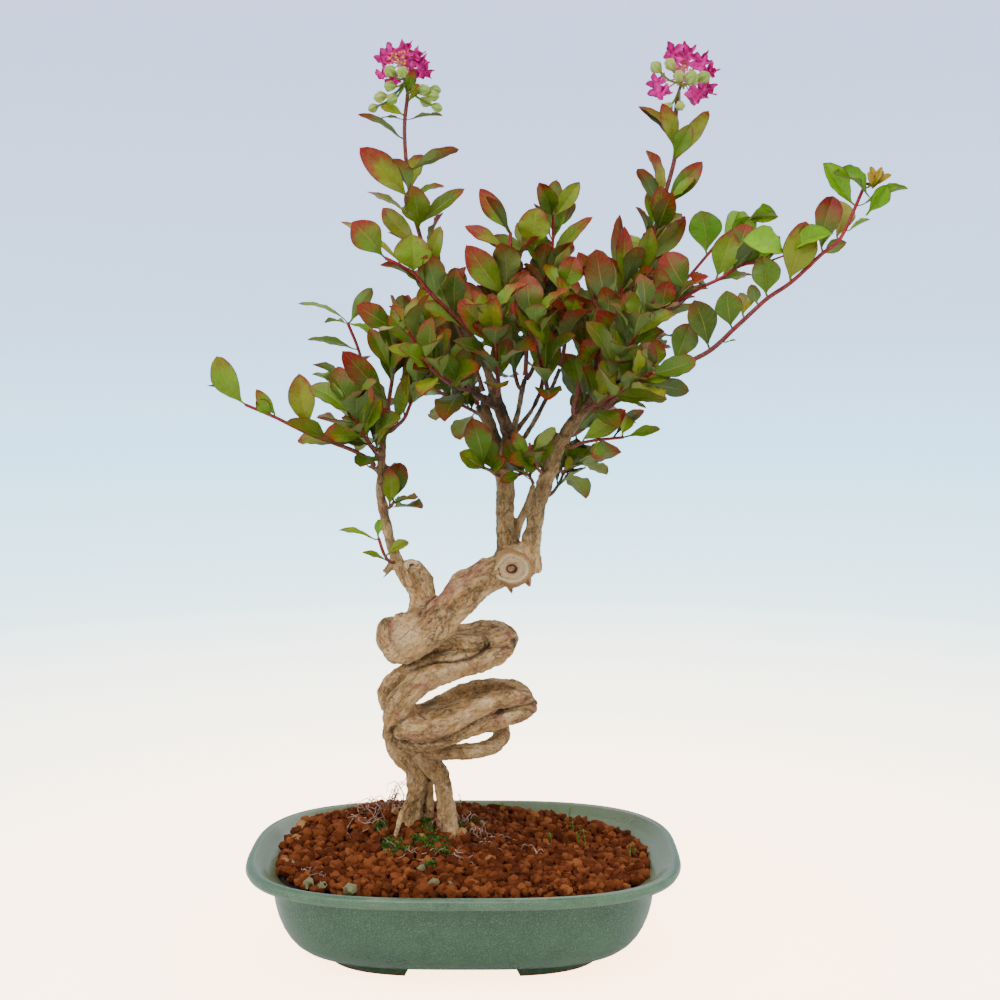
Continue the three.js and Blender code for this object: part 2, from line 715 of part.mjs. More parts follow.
// A closed geometry as a solid that can be joined and cut
function asSolid(geometry) {
  geometry.deleteAttribute("normal");
  geometry.deleteAttribute("uv");
  const merged = mergeVertices(geometry, 0.001);
  const index = merged.index.array;
  const faces = [];
  for (let i = 0; i < index.length; i += 3) {
    const [a, b, c] = [index[i], index[i + 1], index[i + 2]];
    if (a !== b && b !== c && c !== a) {
      faces.push(a, b, c);
    }
  }
  return new wasm.Manifold(new wasm.Mesh({
    numProp: 3,
    vertProperties: new Float32Array(merged.attributes.position.array),
    triVerts: new Uint32Array(faces),
  }));
}

// The largest body of a solid: closed pockets are filled and loose scraps left out
function largestBody(solid) {
  const { vertProperties, triVerts } = solid.getMesh();
  const parent = Array.from({ length: vertProperties.length / 3 }, (_, i) => i);
  const top = (i) => {
    let k = i;
    while (parent[k] !== k) {
      parent[k] = parent[parent[k]];
      k = parent[k];
    }
    return k;
  };
  for (let i = 0; i < triVerts.length; i += 3) {
    parent[top(triVerts[i])] = top(triVerts[i + 1]);
    parent[top(triVerts[i + 1])] = top(triVerts[i + 2]);
  }
  const corner = (i) => Array.from(vertProperties.subarray(3 * i, 3 * i + 3));
  const bodies = new Map();
  for (let i = 0; i < triVerts.length; i += 3) {
    const [a, b, c] = [triVerts[i], triVerts[i + 1], triVerts[i + 2]];
    const body = bodies.get(top(a)) ?? { volume: 0, faces: [] };
    body.volume += dot(corner(a), cross(corner(b), corner(c))) / 6;
    body.faces.push(a, b, c);
    bodies.set(top(a), body);
  }
  const best = [...bodies.values()].reduce((p, q) => (q.volume > p.volume ? q : p));
  const geometry = new THREE.BufferGeometry();
  geometry.setAttribute("position", new THREE.Float32BufferAttribute(vertProperties, 3));
  geometry.setIndex(best.faces);
  return mergeVertices(geometry, 1e-6);
}

const joined = (geometries) => largestBody(
  geometries.map(asSolid).reduce((whole, part) => whole.add(part)),
);

// A tube along rows of x, y, z, radius: a cylinder whose rings are set on the line
function tube(rows, sides) {
  const count = rows.length - 1;
  let side = null;
  const frames = rows.map((row, i) => {
    const way = unit(minus(rows[Math.min(i + 1, count)], rows[Math.max(i - 1, 0)]));
    const from = side ?? (Math.abs(way[2]) > 0.9 ? [1, 0, 0] : [0, 0, 1]);
    side = unit(plus(from, way, -dot(from, way)));
    return { side, up: cross(way, side) };
  });
  const geometry = new THREE.CylinderGeometry(1, 1, 1, sides, count);
  const position = geometry.attributes.position;
  for (let i = 0; i < position.count; i += 1) {
    const k = Math.round((0.5 - position.getY(i)) * count);
    const across = times(frames[k].side, rows[k][3] * position.getX(i));
    const out = plus(across, frames[k].up, rows[k][3] * position.getZ(i));
    position.setXYZ(i, ...plus(rows[k], out));
  }
  return geometry;
}

const sidesFor = (radius) => (radius > THIN_WOOD ? 6 : 4);

// A rounded oval body: a turned profile whose rings are spread to half length and half width
function ovalBody(rows, steps, grow = 0) {
  const profile = rows.map(([a, , z]) => new THREE.Vector2(a, z));
  const geometry = new THREE.LatheGeometry(profile, steps);
  const position = geometry.attributes.position;
  const bend = (v) => (Math.abs(v) < 1e-6 ? 0 : Math.sign(v) * Math.abs(v) ** (2 / POT_CORNER));
  for (let i = 0; i < position.count; i += 1) {
    const [a, b, z] = rows[i % rows.length];
    const turn = (2 * Math.PI * Math.floor(i / rows.length)) / steps;
    const more = a > 0 ? grow : 0;
    position.setXYZ(i, (a + more) * bend(Math.cos(turn)), (b + more) * bend(Math.sin(turn)), z);
  }
  return geometry;
}

function boxAt(x, y, z, at) {
  return asSolid(new THREE.BoxGeometry(x, y, z).translate(...at));
}

function pot() {
  const gap = 2 * FOOT_GAP_HEIGHT;
  const [recessX, recessY, recessZ] = FOOT_RECESS;
  const recess = [[0, 0, -1], [recessX, recessY, -1], [recessX, recessY, recessZ], [0, 0, recessZ]];
  let body = asSolid(ovalBody(POT_OUTSIDE, POT_STEPS))
    .subtract(asSolid(ovalBody(POT_INSIDE, POT_STEPS)))
    .subtract(asSolid(ovalBody(recess, POT_STEPS)))
    .subtract(boxAt(FOOT_GAP_FRONT, RIGHT_THROUGH, gap, [0, 0, 0]))
    .subtract(boxAt(RIGHT_THROUGH, FOOT_GAP_SIDE, gap, [0, 0, 0]));
  for (const x of [-DRAIN_AT, DRAIN_AT]) {
    const hole = new THREE.CylinderGeometry(DRAIN_RADIUS, DRAIN_RADIUS, DRAIN_CUT, DRAIN_SIDES);
    body = body.subtract(asSolid(hole.rotateX(Math.PI / 2).translate(x, 0, 0)));
  }
  return largestBody(body);
}

function drainNet(x) {
  const middle = POT_INSIDE[0][2] + CLEAR + NET_THICK / 2;
  let net = boxAt(NET_SIZE, NET_SIZE, NET_THICK, [x, 0, middle]);
  for (const across of NET_AT) {
    for (const deep of NET_AT) {
      net = net.subtract(boxAt(NET_HOLE, NET_HOLE, 3 * NET_THICK, [x + across, deep, middle]));
    }
  }
  return largestBody(net);
}

function soilHeight(x, y) {
  const [moundX, moundY, spreadX, spreadY, rise] = SOIL_MOUND;
  const far = ((x - moundX) / spreadX) ** 2 + ((y - moundY) / spreadY) ** 2;
  const front = (SOIL_FRONT_RISE * Math.max(0, -y)) / SOIL_FRONT_RUN;
  const left = SOIL_LEFT_RISE * (Math.max(0, -x) / SOIL_LEFT_RUN) ** 2;
  return SOIL_LEVEL + front + left + rise * Math.exp(-far);
}

// Soil: what the pot holds, under a mounded top with legs and drain meshes let into it
function soil(rootLines) {
  const random = seeded(SEED);
  const [wide, deep] = SOIL_BLANK;
  const rings = [[0, 0, 0], [wide, deep, 0]];
  for (let k = SOIL_RINGS; k >= 0; k -= 1) {
    rings.push([(wide * k) / SOIL_RINGS, (deep * k) / SOIL_RINGS, SOIL_LEVEL]);
  }
  const mound = ovalBody(rings, SOIL_STEPS);
  const position = mound.attributes.position;
  const relief = Array.from({ length: position.count }, () => 2 * random() - 1);
  for (let i = 0; i < position.count; i += 1) {
    const ring = i % rings.length;
    const turn = Math.floor(i / rings.length) % SOIL_STEPS;
    if (ring > 1) {
      const bump = ring === rings.length - 1 ? 0 : relief[turn * rings.length + ring];
      const height = soilHeight(position.getX(i), position.getY(i));
      position.setZ(i, height + SOIL_RELIEF * bump);
    }
  }
  const shell = POT_INSIDE.map(([a, b, z]) => [a, b, z + CLEAR]);
  const [brimX, brimY] = shell.at(-2);
  shell.splice(-1, 1, [brimX, brimY, SOIL_ABOVE], [0, 0, SOIL_ABOVE]);
  let body = asSolid(ovalBody(shell, POT_STEPS, -CLEAR)).intersect(asSolid(mound));
  for (const line of rootLines) {
    const hole = line.map(([x, y, z, r]) => [x, y, z, r + ROOT_CLEAR]);
    hole[0] = [...plus(hole[0], [0, 0, -1], CLEAR), hole[0][3]];
    body = body.subtract(asSolid(tube(hole, sidesFor(line[0][3]))));
  }
  for (const x of [-DRAIN_AT, DRAIN_AT]) {
    const seat = NET_SIZE + 2 * CLEAR;
    const high = 2 * (POT_INSIDE[0][2] + NET_THICK + 2 * CLEAR);
    body = body.subtract(boxAt(seat, seat, high, [x, 0, 0]));
  }
  return largestBody(body);
}

// Two rows of points joined edge to edge
function stitched(near, far) {
  const triangles = [];
  let [i, j] = [0, 0];
  while (i < near.length - 1 || j < far.length - 1) {
    const nearPart = (i + 0.5) / Math.max(1, near.length - 1);
    const farPart = (j + 0.5) / Math.max(1, far.length - 1);
    const farDone = j >= far.length - 1;
    if (i < near.length - 1 && (farDone || nearPart <= farPart)) {
      triangles.push([near[i], near[i + 1], far[j]]);
      i += 1;
    } else {
      triangles.push([near[i], far[j + 1], far[j]]);
      j += 1;
    }
  }
  return triangles;
}

// Adds the skin of a sheet: rows of upper and lower points, split alike on both faces
function skin(triangles, rows) {
  for (let k = 1; k < rows.length; k += 1) {
    const [near, far] = [rows[k - 1], rows[k]];
    const upper = stitched(near.top, far.top);
    const below = new Map();
    near.top.forEach((p, i) => below.set(p, near.low[i]));
    far.top.forEach((p, i) => below.set(p, far.low[i]));
    triangles.push(...upper);
    triangles.push(...upper.map(([a, b, c]) => [below.get(a), below.get(c), below.get(b)]));
    const side = (from, to) => (from === to ? [from] : [from, to]);
    const right = (row) => side(row.top.at(-1), row.low.at(-1));
    const left = (row) => side(row.low[0], row.top[0]);
    triangles.push(...stitched(right(near), right(far)), ...stitched(left(near), left(far)));
  }
}

// A leaf blade: folded along its midrib, arched, and waved at the edge
function blade(base, tip, width, facing, random) {
  const reach = minus(tip, base);
  const way = unit(reach);
  const face = unit(plus(facing, way, -dot(facing, way)));
  return {
    base,
    way,
    face,
    across: cross(way, face),
    length: size(reach),
    width,
    arch: between(LEAF_ARCH, random),
    fold: between(LEAF_FOLD, random),
    ripple: between(LEAF_RIPPLE, random),
    phase: 2 * Math.PI * random(),
  };
}

function bladePoint(leaf, s, t) {
  const u = Math.max(0, (s - LEAF_STALK) / (1 - LEAF_STALK));
  const half = 0.5 * leaf.width * Math.max(0, Math.sin(Math.PI * u ** LEAF_TAPER)) ** LEAF_ROUND;
  const arch = leaf.arch * leaf.length * Math.sin(Math.PI * s);
  const fold = leaf.fold * Math.abs(t) * half;
  const ripple = leaf.ripple * half * t * Math.sin(LEAF_WAVES * s + leaf.phase);
  const middle = plus(leaf.base, leaf.way, leaf.length * s);
  return plus(plus(middle, leaf.across, half * t), leaf.face, arch + fold + ripple);
}

// Stems: the line, a frame carried along it, and how much of its foot belongs to the wood
function stemOf(name, shoot, woodPosts) {
  const line = smooth(shoot.route, STEM_STEPS);
  const run = [0];
  for (let i = 1; i < line.length; i += 1) {
    run.push(run[i - 1] + size(minus(line[i], line[i - 1])));
  }
  const frames = [];
  let side = null;
  for (let i = 1; i < line.length; i += 1) {
    const way = unit(minus(line[i], line[i - 1]));
    const from = side ?? (Math.abs(way[2]) > 0.9 ? [1, 0, 0] : [0, 0, 1]);
    side = unit(plus(from, way, -dot(from, way)));
    frames.push({ way, side, up: cross(way, side) });
  }
  const stem = { name, shoot, line, run, frames, total: run.at(-1), foot: 2 };
  const touches = () => woodPosts.some((post) => {
    const room = post.radius + shoot.radius[0] + WOOD_ROOM;
    return size(minus(alongStem(stem, stem.foot).at, post.at)) < room;
  });
  while (touches() && stem.foot < stem.total - SHORTEST_SHOOT) {
    stem.foot += 0.5;
  }
  return stem;
}

function alongStem(stem, distance) {
  let i = 1;
  while (i < stem.line.length - 1 && stem.run[i] < distance) {
    i += 1;
  }
  const part = (distance - stem.run[i - 1]) / (stem.run[i] - stem.run[i - 1]);
  const step = minus(stem.line[i], stem.line[i - 1]);
  const [thick, thin] = stem.shoot.radius;
  const radius = Math.max(MIN_STEM, thick + ((thin - thick) * distance) / stem.total);
  return { at: plus(stem.line[i - 1], step, part), radius, ...stem.frames[i - 1] };
}

// The four sides of a stem and its end, and the joints where leaves leave it
const STEM_END = 4;

function sideNormal(spot, j) {
  if (j === STEM_END) {
    return spot.way;
  }
  return plus(times(spot.side, Math.cos(radians(90 * j))), spot.up, Math.sin(radians(90 * j)));
}

function jointAt(stem, joints, wanted) {
  const low = stem.foot + CLEAR + STEM_REACH + STEM_FOOT;
  const distance = Math.min(stem.total - STEM_REACH, Math.max(low, wanted));
  let joint = joints.find((other) => Math.abs(other.distance - distance) < STEM_STEP);
  if (!joint) {
    joint = { distance, taken: new Set(), spot: alongStem(stem, distance) };
    joint.last = distance > stem.total - STEM_REACH - 0.01;
    joints.push(joint);
  }
  return joint;
}

// How far a stem's face, or its end, lies from the joint
const faceOut = (joint, j) => (
  j === STEM_END ? STEM_REACH : joint.spot.radius * Math.cos(radians(45))
);

const rootAt = (joint, j) => (
  plus(joint.spot.at, sideNormal(joint.spot, j), faceOut(joint, j) + LEAF_OFF_STEM)
);

// Where a leaf may stand: clear of wood, of stems and of the leaves already there
const SAMPLE_S = [0.22, 0.34, 0.46, 0.58, 0.7, 0.82, 0.94];
const SAMPLE_T = [-0.9, -0.45, 0, 0.45, 0.9];
const STALK_S = [0, 0.1];
const SAMPLE_MIDDLE = 17;
const SAMPLE_OUTER = 5;
const ROOM_LEAF = 3.6;
const ROOM_STEM = 2.6;
const ROOM_OWN = 1.8;
const ROOM_STALK = 0.7;
const ROOM_STALKS = 2.3;
const NEAR_JOINT = 2.5;
const ROOM_FACE = 0.9;
const MIN_LEAN = 0.15;
const PART_MIN = 1.6;
const PART_RISE = 4;
const REACH_POST = 32;
const REACH_LEAVES = 60;

function within(p, q, room) {
  const [x, y, z] = minus(p, q);
  return x * x + y * y + z * z < room * room;
}

const crowded = (some, others, room) => some.some((p) => others.some((q) => within(p, q, room)));

// Leaf points to test: the blade, and its stalk for the company on its own stem
function outline(leaf) {
  return {
    points: SAMPLE_S.flatMap((s) => SAMPLE_T.map((t) => bladePoint(leaf, s, t))),
    stalk: STALK_S.map((s) => bladePoint(leaf, s, 0)),
  };
}

function blocked(item, posts, placed, ease) {
  const { points, stalk, owner, joint } = item;
  const middle = points[SAMPLE_MIDDLE];
  for (const post of posts) {
    const own = post.owner === owner;
    if (own && Math.abs(post.distance - joint.distance) < NEAR_JOINT) {
      continue;
    }
    const room = post.radius + ease * (own ? ROOM_OWN : ROOM_STEM);
    const from = own ? SAMPLE_OUTER : 0;
    if (within(middle, post.at, room + REACH_POST)
      && points.some((p, i) => i >= from && within(p, post.at, room))) {
      return true;
    }
    if (own && within(stalk[1], post.at, post.radius + ROOM_STALK)) {
      return true;
    }
  }
  return placed.some((other) => {
    if (!within(middle, other.points[SAMPLE_MIDDLE], REACH_LEAVES)) {
      return false;
    }
    if (crowded(points, other.points, ease * ROOM_LEAF)) {
      return true;
    }
    if (other.owner !== owner) {
      return false;
    }
    return crowded(stalk, other.points, ease * ROOM_STALKS)
      || crowded(points, other.stalk, ease * ROOM_STALKS)
      || (other.joint === joint && !parted(item, other));
  });
}

// Two leaves of one joint lean apart
function parted(item, other) {
  const leans = [[item, other], [other, item]].every(([one, two]) => {
    const out = sideNormal(one.joint.spot, one.j);
    return dot(one.leaf.way, out) > dot(two.leaf.way, out) + MIN_LEAN;
  });
  const gap = (s) => size(minus(bladePoint(item.leaf, s, 0), bladePoint(other.leaf, s, 0)));
  const clear = (s) => gap(s) > PART_MIN + PART_RISE * s;
  return leans && [2 * LEAF_STALK, LEAF_ROWS[0]].every(clear);
}

// A leaf rises off the stem: its stalk leans out and the foot of its blade stays above
function rises(leaf, joint, j) {
  const out = sideNormal(joint.spot, j);
  const low = faceOut(joint, j) + ROOM_FACE;
  return dot(leaf.way, out) > MIN_LEAN && [-1, 1].every((t) => (
    dot(minus(bladePoint(leaf, LEAF_ROWS[0], t), joint.spot.at), out) > low
  ));
}

// Hand-set leaves swing a little out of the way, then leaves in crossed pairs fill the rest
const SWINGS = [
  [0, 0], [6, 0], [-6, 0], [11, 0], [-11, 0], [0, 6], [0, -6], [16, 4], [-16, 4], [22, 0], [-22, 0],
];
const TURNS = [0, 0.45, -0.45, 0.8, -0.8];
const SIDES_TRIED = 3;
const PAIR_SEED = 500000;
const SHAPE_SEED = 800000;
const STEM_SEEDS = 1000;
const PAIR_ROLL = [-0.25, 0.25];
const PAIR_LEAN = [0.8, 1.15];
const PAIR_LENGTH = [27, 36];
const PAIR_WIDTH = [0.5, 0.6];
const PAIR_SHORTER = 0.25;
const PAIR_RISE = 0.25;
const PAIR_FACING = [0, -0.2, 0.5];
const EASES = [1, 0.8];

function placeLeaves(stems, posts) {
  const placed = [];
  const joints = stems.map(() => []);
  const settle = (owner, joint, j, makers) => EASES.some((ease) => makers.some((make) => {
    const leaf = make(rootAt(joint, j));
    const item = { leaf, owner, joint, j, ...outline(leaf) };
    const clear = rises(leaf, joint, j) && !blocked(item, posts, placed, ease);
    if (clear) {
      joint.taken.add(j);
      placed.push(item);
    }
    return clear;
  }));
  stems.forEach((stem, owner) => {
    stem.shoot.leaves.forEach(([part, x, y, z, width, facing], index) => {
      const joint = jointAt(stem, joints[owner], part * stem.total);
      const toward = unit(minus([x, y, z], joint.spot.at));
      const sides = joint.last ? [0, 1, 2, 3, STEM_END] : [0, 1, 2, 3];
      const order = sides.sort((p, q) => (
        dot(sideNormal(joint.spot, q), toward) - dot(sideNormal(joint.spot, p), toward)
      ));
      const free = order.filter((j) => !joint.taken.has(j));
      const face = [0, -Math.sin(radians(facing)), Math.cos(radians(facing))];
      const makers = SWINGS.map(([dy, dz]) => (base) => (
        blade(base, [x, y + dy, z + dz], width, face, seeded(SEED + STEM_SEEDS * owner + index))
      ));
      free.slice(0, SIDES_TRIED).some((j) => settle(owner, joint, j, makers));
    });
  });
  stems.forEach((stem, owner) => {
    const [pairs, from, to] = stem.shoot.pairs ?? [0, 0, 0];
    for (let k = 0; k < 2 * pairs; k += 1) {
      const pair = Math.floor(k / 2);
      const part = from + ((to - from) * (pair + 0.5)) / pairs;
      const joint = jointAt(stem, joints[owner], part * stem.total);
      const j = (pair % 2) + 2 * (k % 2);
      const random = seeded(SEED + PAIR_SEED + STEM_SEEDS * owner + k);
      const roll = radians(90 * j) + between(PAIR_ROLL, random);
      const lean = between(PAIR_LEAN, random);
      const shorter = 1 - PAIR_SHORTER * Math.abs(2 * part - 1);
      const length = between(PAIR_LENGTH, random) * shorter;
      const width = length * between(PAIR_WIDTH, random);
      const makers = TURNS.map((turn) => (base) => {
        const { side, up, way } = joint.spot;
        const around = plus(times(side, Math.cos(roll + turn)), up, Math.sin(roll + turn));
        const out = plus(times(way, Math.cos(lean)), around, Math.sin(lean));
        const tip = plus(base, unit(plus(out, [0, 0, 1], PAIR_RISE)), length);
        const shape = seeded(SEED + SHAPE_SEED + STEM_SEEDS * owner + k);
        return blade(base, tip, width, plus(way, PAIR_FACING), shape);
      });
      if (!joint.taken.has(j)) {
        settle(owner, joint, j, makers);
      }
    }
  });
  return placed;
}

// A shoot: a four-sided stem with each leaf grown out of one of its faces
function leafyShoot(stem, leaves) {
  const cuts = [stem.foot + CLEAR, stem.total];
  const mounts = new Map();
  for (const item of leaves) {
    const [low, high] = [item.joint.distance - STEM_REACH, item.joint.distance + STEM_REACH];
    cuts.push(low, high);
    mounts.set(low, [...(mounts.get(low) ?? []), item]);
  }
  const marks = [...new Set(cuts)].sort((p, q) => p - q).filter((d, i, all) => (
    i === 0 || d - all[i - 1] > 0.01
  ));
  const rings = marks.flatMap((distance, i) => {
    const gap = i + 1 < marks.length ? marks[i + 1] - distance : 0;
    const extra = Math.floor(gap / STEM_RING);
    return Array.from({ length: extra + 1 }, (_, k) => distance + (gap * k) / (extra + 1));
  });
  const positions = [];
  const triangles = [];
  for (const distance of rings) {
    const spot = alongStem(stem, distance);
    for (let k = 0; k < 4; k += 1) {
      positions.push(plus(spot.at, sideNormal(spot, k - 0.5), spot.radius));
    }
  }
  rings.forEach((distance, i) => {
    if (i === rings.length - 1) {
      return;
    }
    const items = mounts.get(distance) ?? [];
    for (let j = 0; j < 4; j += 1) {
      const [a, b] = [4 * i + j, 4 * i + ((j + 1) % 4)];
      const corners = [a, b, b + 4, a + 4];
      const item = items.find((other) => other.j === j);
      if (item) {
        growLeaf(positions, triangles, item, corners);
      } else {
        triangles.push([a, b, b + 4], [a, b + 4, a + 4]);
      }
    }
  });
  triangles.push([0, 2, 1], [0, 3, 2]);
  const end = 4 * (rings.length - 1);
  const last = leaves.find((item) => item.j === STEM_END);
  if (last) {
    growLeaf(positions, triangles, last, [end, end + 1, end + 2, end + 3]);
  } else {
    triangles.push([end, end + 1, end + 2], [end, end + 2, end + 3]);
  }
  return geometryOf(positions, triangles);
}

// A leaf whose stalk widens out of the four corners of a stem face, with a ring of its own
// where it turns far from them
const TWIST_LIMIT = 0.8;
const STALK_HALF = 0.6;
const STALK_HIGH = 0.4;

function growLeaf(positions, triangles, item, corners) {
  const { leaf, joint, j } = item;
  const out = sideNormal(joint.spot, j);
  const rise = Math.max(MIN_LEAN, dot(leaf.way, out));
  const spread = [[-1, 1], [1, 1], [1, -1], [-1, -1]].map(([right, upper]) => {
    const offset = plus(times(leaf.across, STALK_HALF * right), leaf.face, STALK_HIGH * upper);
    return plus(offset, leaf.way, -dot(offset, out) / rise);
  });
  const middle = times(corners.map((k) => positions[k]).reduce((p, q) => plus(p, q)), 0.25);
  const match = (shift) => spread.reduce((sum, offset, i) => (
    sum + dot(unit(offset), unit(minus(positions[corners[(i + shift) % 4]], middle))) / 4
  ), 0);
  const shift = [0, 1, 2, 3].reduce((best, k) => (match(k) > match(best) ? k : best), 0);
  const root = [0, 1, 2, 3].map((i) => corners[(i + shift) % 4]);
  const rows = [{ top: [root[0], root[1]], low: [root[3], root[2]] }];
  const add = (point, lift) => positions.push(plus(point, leaf.face, lift)) - 1;
  if (match(shift) < TWIST_LIMIT) {
    const stalk = bladePoint(leaf, LEAF_STALK, 0);
    const points = [-STALK_HALF, STALK_HALF].map((half) => plus(stalk, leaf.across, half));
    rows.push({
      top: points.map((point) => add(point, LEAF_THICK / 2)),
      low: points.map((point) => add(point, -LEAF_THICK / 2)),
    });
  }
  for (const s of LEAF_ROWS) {
    const widths = s < 0.5 ? [-1, 1] : [-1, 0, 1];
    const points = widths.map((t) => bladePoint(leaf, s, t));
    rows.push({
      top: points.map((point) => add(point, LEAF_THICK / 2)),
      low: points.map((point) => add(point, -LEAF_THICK / 2)),
    });
  }
  const tip = add(bladePoint(leaf, 1, 0), 0);
  rows.push({ top: [tip], low: [tip] });
  skin(triangles, rows);
}

// Flower heads: clawed, crinkled petals round a hub, and round buds on a stalk
function petal(hub, [x, y, z, width], random) {
  const leaf = blade(hub, [x, y, z], width, [random() - 0.5, ...PETAL_FACING], random);
  const point = (s, t, half) => {
    const lift = s > PETAL_CLAW ? PETAL_WAVE * Math.sin(PETAL_WAVES * t + leaf.phase) : 0;
    const middle = plus(hub, leaf.way, leaf.length * s);
    return plus(plus(middle, leaf.across, half * t), leaf.face, lift);
  };
  const outlines = [
    [-1, 1].map((t) => point((0.6 * HUB_RADIUS) / leaf.length, t, STALK_HALF)),
    [-1, 1].map((t) => point(PETAL_CLAW, t, PETAL_CLAW_HALF)),
    [-1, 0, 1].map((t) => point(PETAL_BROAD, t, width / 2)),
    [-1, 0, 1].map((t) => point(t === 0 ? PETAL_NOTCH : 1, t, width * PETAL_END)),
  ];
  const [positions, triangles] = [[], []];
  const add = (p, lift) => positions.push(plus(p, leaf.face, lift)) - 1;
  const rows = outlines.map((row) => ({
    top: row.map((p) => add(p, LEAF_THICK / 2)),
    low: row.map((p) => add(p, -LEAF_THICK / 2)),
  }));
  skin(triangles, rows);
  const [first, last] = [rows[0], rows.at(-1)];
  triangles.push([first.top[1], first.top[0], first.low[0]]);
  triangles.push([first.top[1], first.low[0], first.low[1]]);
  for (let i = 1; i < last.top.length; i += 1) {
    triangles.push([last.top[i - 1], last.top[i], last.low[i]]);
    triangles.push([last.top[i - 1], last.low[i], last.low[i - 1]]);
  }
  return geometryOf(positions, triangles);
}

function petals(head, seed) {
  const random = seeded(seed);
  const hub = new THREE.OctahedronGeometry(HUB_RADIUS, 1).translate(...head.hub);
  return joined([hub, ...head.petals.map((row) => petal(head.hub, row, random))]);
}

function buds(head) {
  const up = unit(minus(head.hub, head.foot));
  const top = plus(head.hub, up, -HUB_RADIUS - CLEAR);
  const start = plus(head.foot, up, CLEAR);
  const parts = [tube([[...start, STALK_RADIUS], [...top, STALK_RADIUS]], STALK_SIDES)];
  for (const [x, y, z, radius, part] of head.buds) {
    const from = plus(start, minus(top, start), part);
    parts.push(tube([[...from, BUD_STALK], [x, y, z, BUD_STALK]], TWIG_SIDES));
    parts.push(new THREE.IcosahedronGeometry(radius, 0).translate(x, y, z));
  }
  return joined(parts);
}

// Everything together
const group = new THREE.Group();
group.name = "crepe_myrtle_bonsai";

function addPiece(name, geometry, color, roughness) {
  geometry.computeVertexNormals();
  const material = new THREE.MeshStandardMaterial({ color, roughness, metalness: 0 });
  const mesh = new THREE.Mesh(geometry, material);
  mesh.name = name;
  group.add(mesh);
}

const woodLines = Object.entries(WOOD).map(([name, rows]) => ({ name, rows: [...rows] }));
const posts = Object.values(WOOD).flatMap((rows) => smooth(rows, WOOD_POSTS).map((at, i) => (
  { owner: -1, at, radius: rows[Math.round(i / WOOD_POSTS)][3] }
)));
const stems = Object.entries(SHOOTS).map(([name, shoot]) => stemOf(name, shoot, posts));
const woodParts = [];
stems.forEach((stem, owner) => {
  const [start, end] = [0, stem.foot].map((distance) => {
    const { at, radius } = alongStem(stem, distance);
    return [...at, radius + STUB_EXTRA];
  });
  const twig = woodLines.find(({ rows }) => size(minus(rows.at(-1), start)) < 0.5);
  if (twig) {
    twig.rows.push(end);
  } else {
    woodParts.push(tube([start, end], TWIG_SIDES));
  }
  for (let distance = stem.foot; distance < stem.total; distance += STEM_POST) {
    posts.push({ owner, distance, ...alongStem(stem, distance) });
  }
});
for (const { rows } of woodLines) {
  woodParts.push(tube(rows, sidesFor(rows[0][3])));
}
for (const head of Object.values(HEADS)) {
  const stalk = minus(head.hub, head.foot);
  for (const [x, y, z, radius, part] of head.buds) {
    const from = plus(head.foot, stalk, BUD_POST * part);
    for (const k of BUD_POSTS) {
      posts.push({ owner: -1, at: plus(from, minus([x, y, z], from), k), radius: BUD_STALK });
    }
    posts.push({ owner: -1, at: [x, y, z], radius });
  }
  for (const [x, y, z] of head.petals) {
    const at = plus(head.hub, minus([x, y, z], head.hub), PETAL_POST);
    posts.push({ owner: -1, at, radius: PETAL_POST_ROOM });
  }
}
const placed = placeLeaves(stems, posts);

addPiece("pot", pot(), 0x3d7a66, 0.35);
const rootLines = SOIL_ROOTS.map((name) => woodLines.find((wood) => wood.name === name).rows);
addPiece("soil", soil(rootLines), 0x7a3e28, 0.95);
addPiece("drain_mesh_left", drainNet(-DRAIN_AT), 0x2a2a2a, 0.6);
addPiece("drain_mesh_right", drainNet(DRAIN_AT), 0x2a2a2a, 0.6);
addPiece("trunk", joined(woodParts), 0xb29a78, 0.85);
stems.forEach((stem, owner) => {
  const leaves = placed.filter((item) => item.owner === owner);
  addPiece(`shoot_${stem.name}`, leafyShoot(stem, leaves), 0x6b7a35, 0.55);
});
for (const [name, head] of Object.entries(HEADS)) {
  addPiece(`flower_petals_${name}`, petals(head, SEED + head.petals.length), 0xb5127f, 0.6);
  addPiece(`flower_buds_${name}`, buds(head), 0x9db56a, 0.5);
}

// The origin is under the middle of the whole, on the surface it stands on
const bounds = new THREE.Box3().setFromObject(group);
const middle = bounds.getCenter(new THREE.Vector3());
group.position.set(-middle.x, -middle.y, -bounds.min.z);

export default group;
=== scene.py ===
import math
import random

import bmesh
import bpy
import numpy as np
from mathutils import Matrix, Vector, noise
from mathutils.kdtree import KDTree


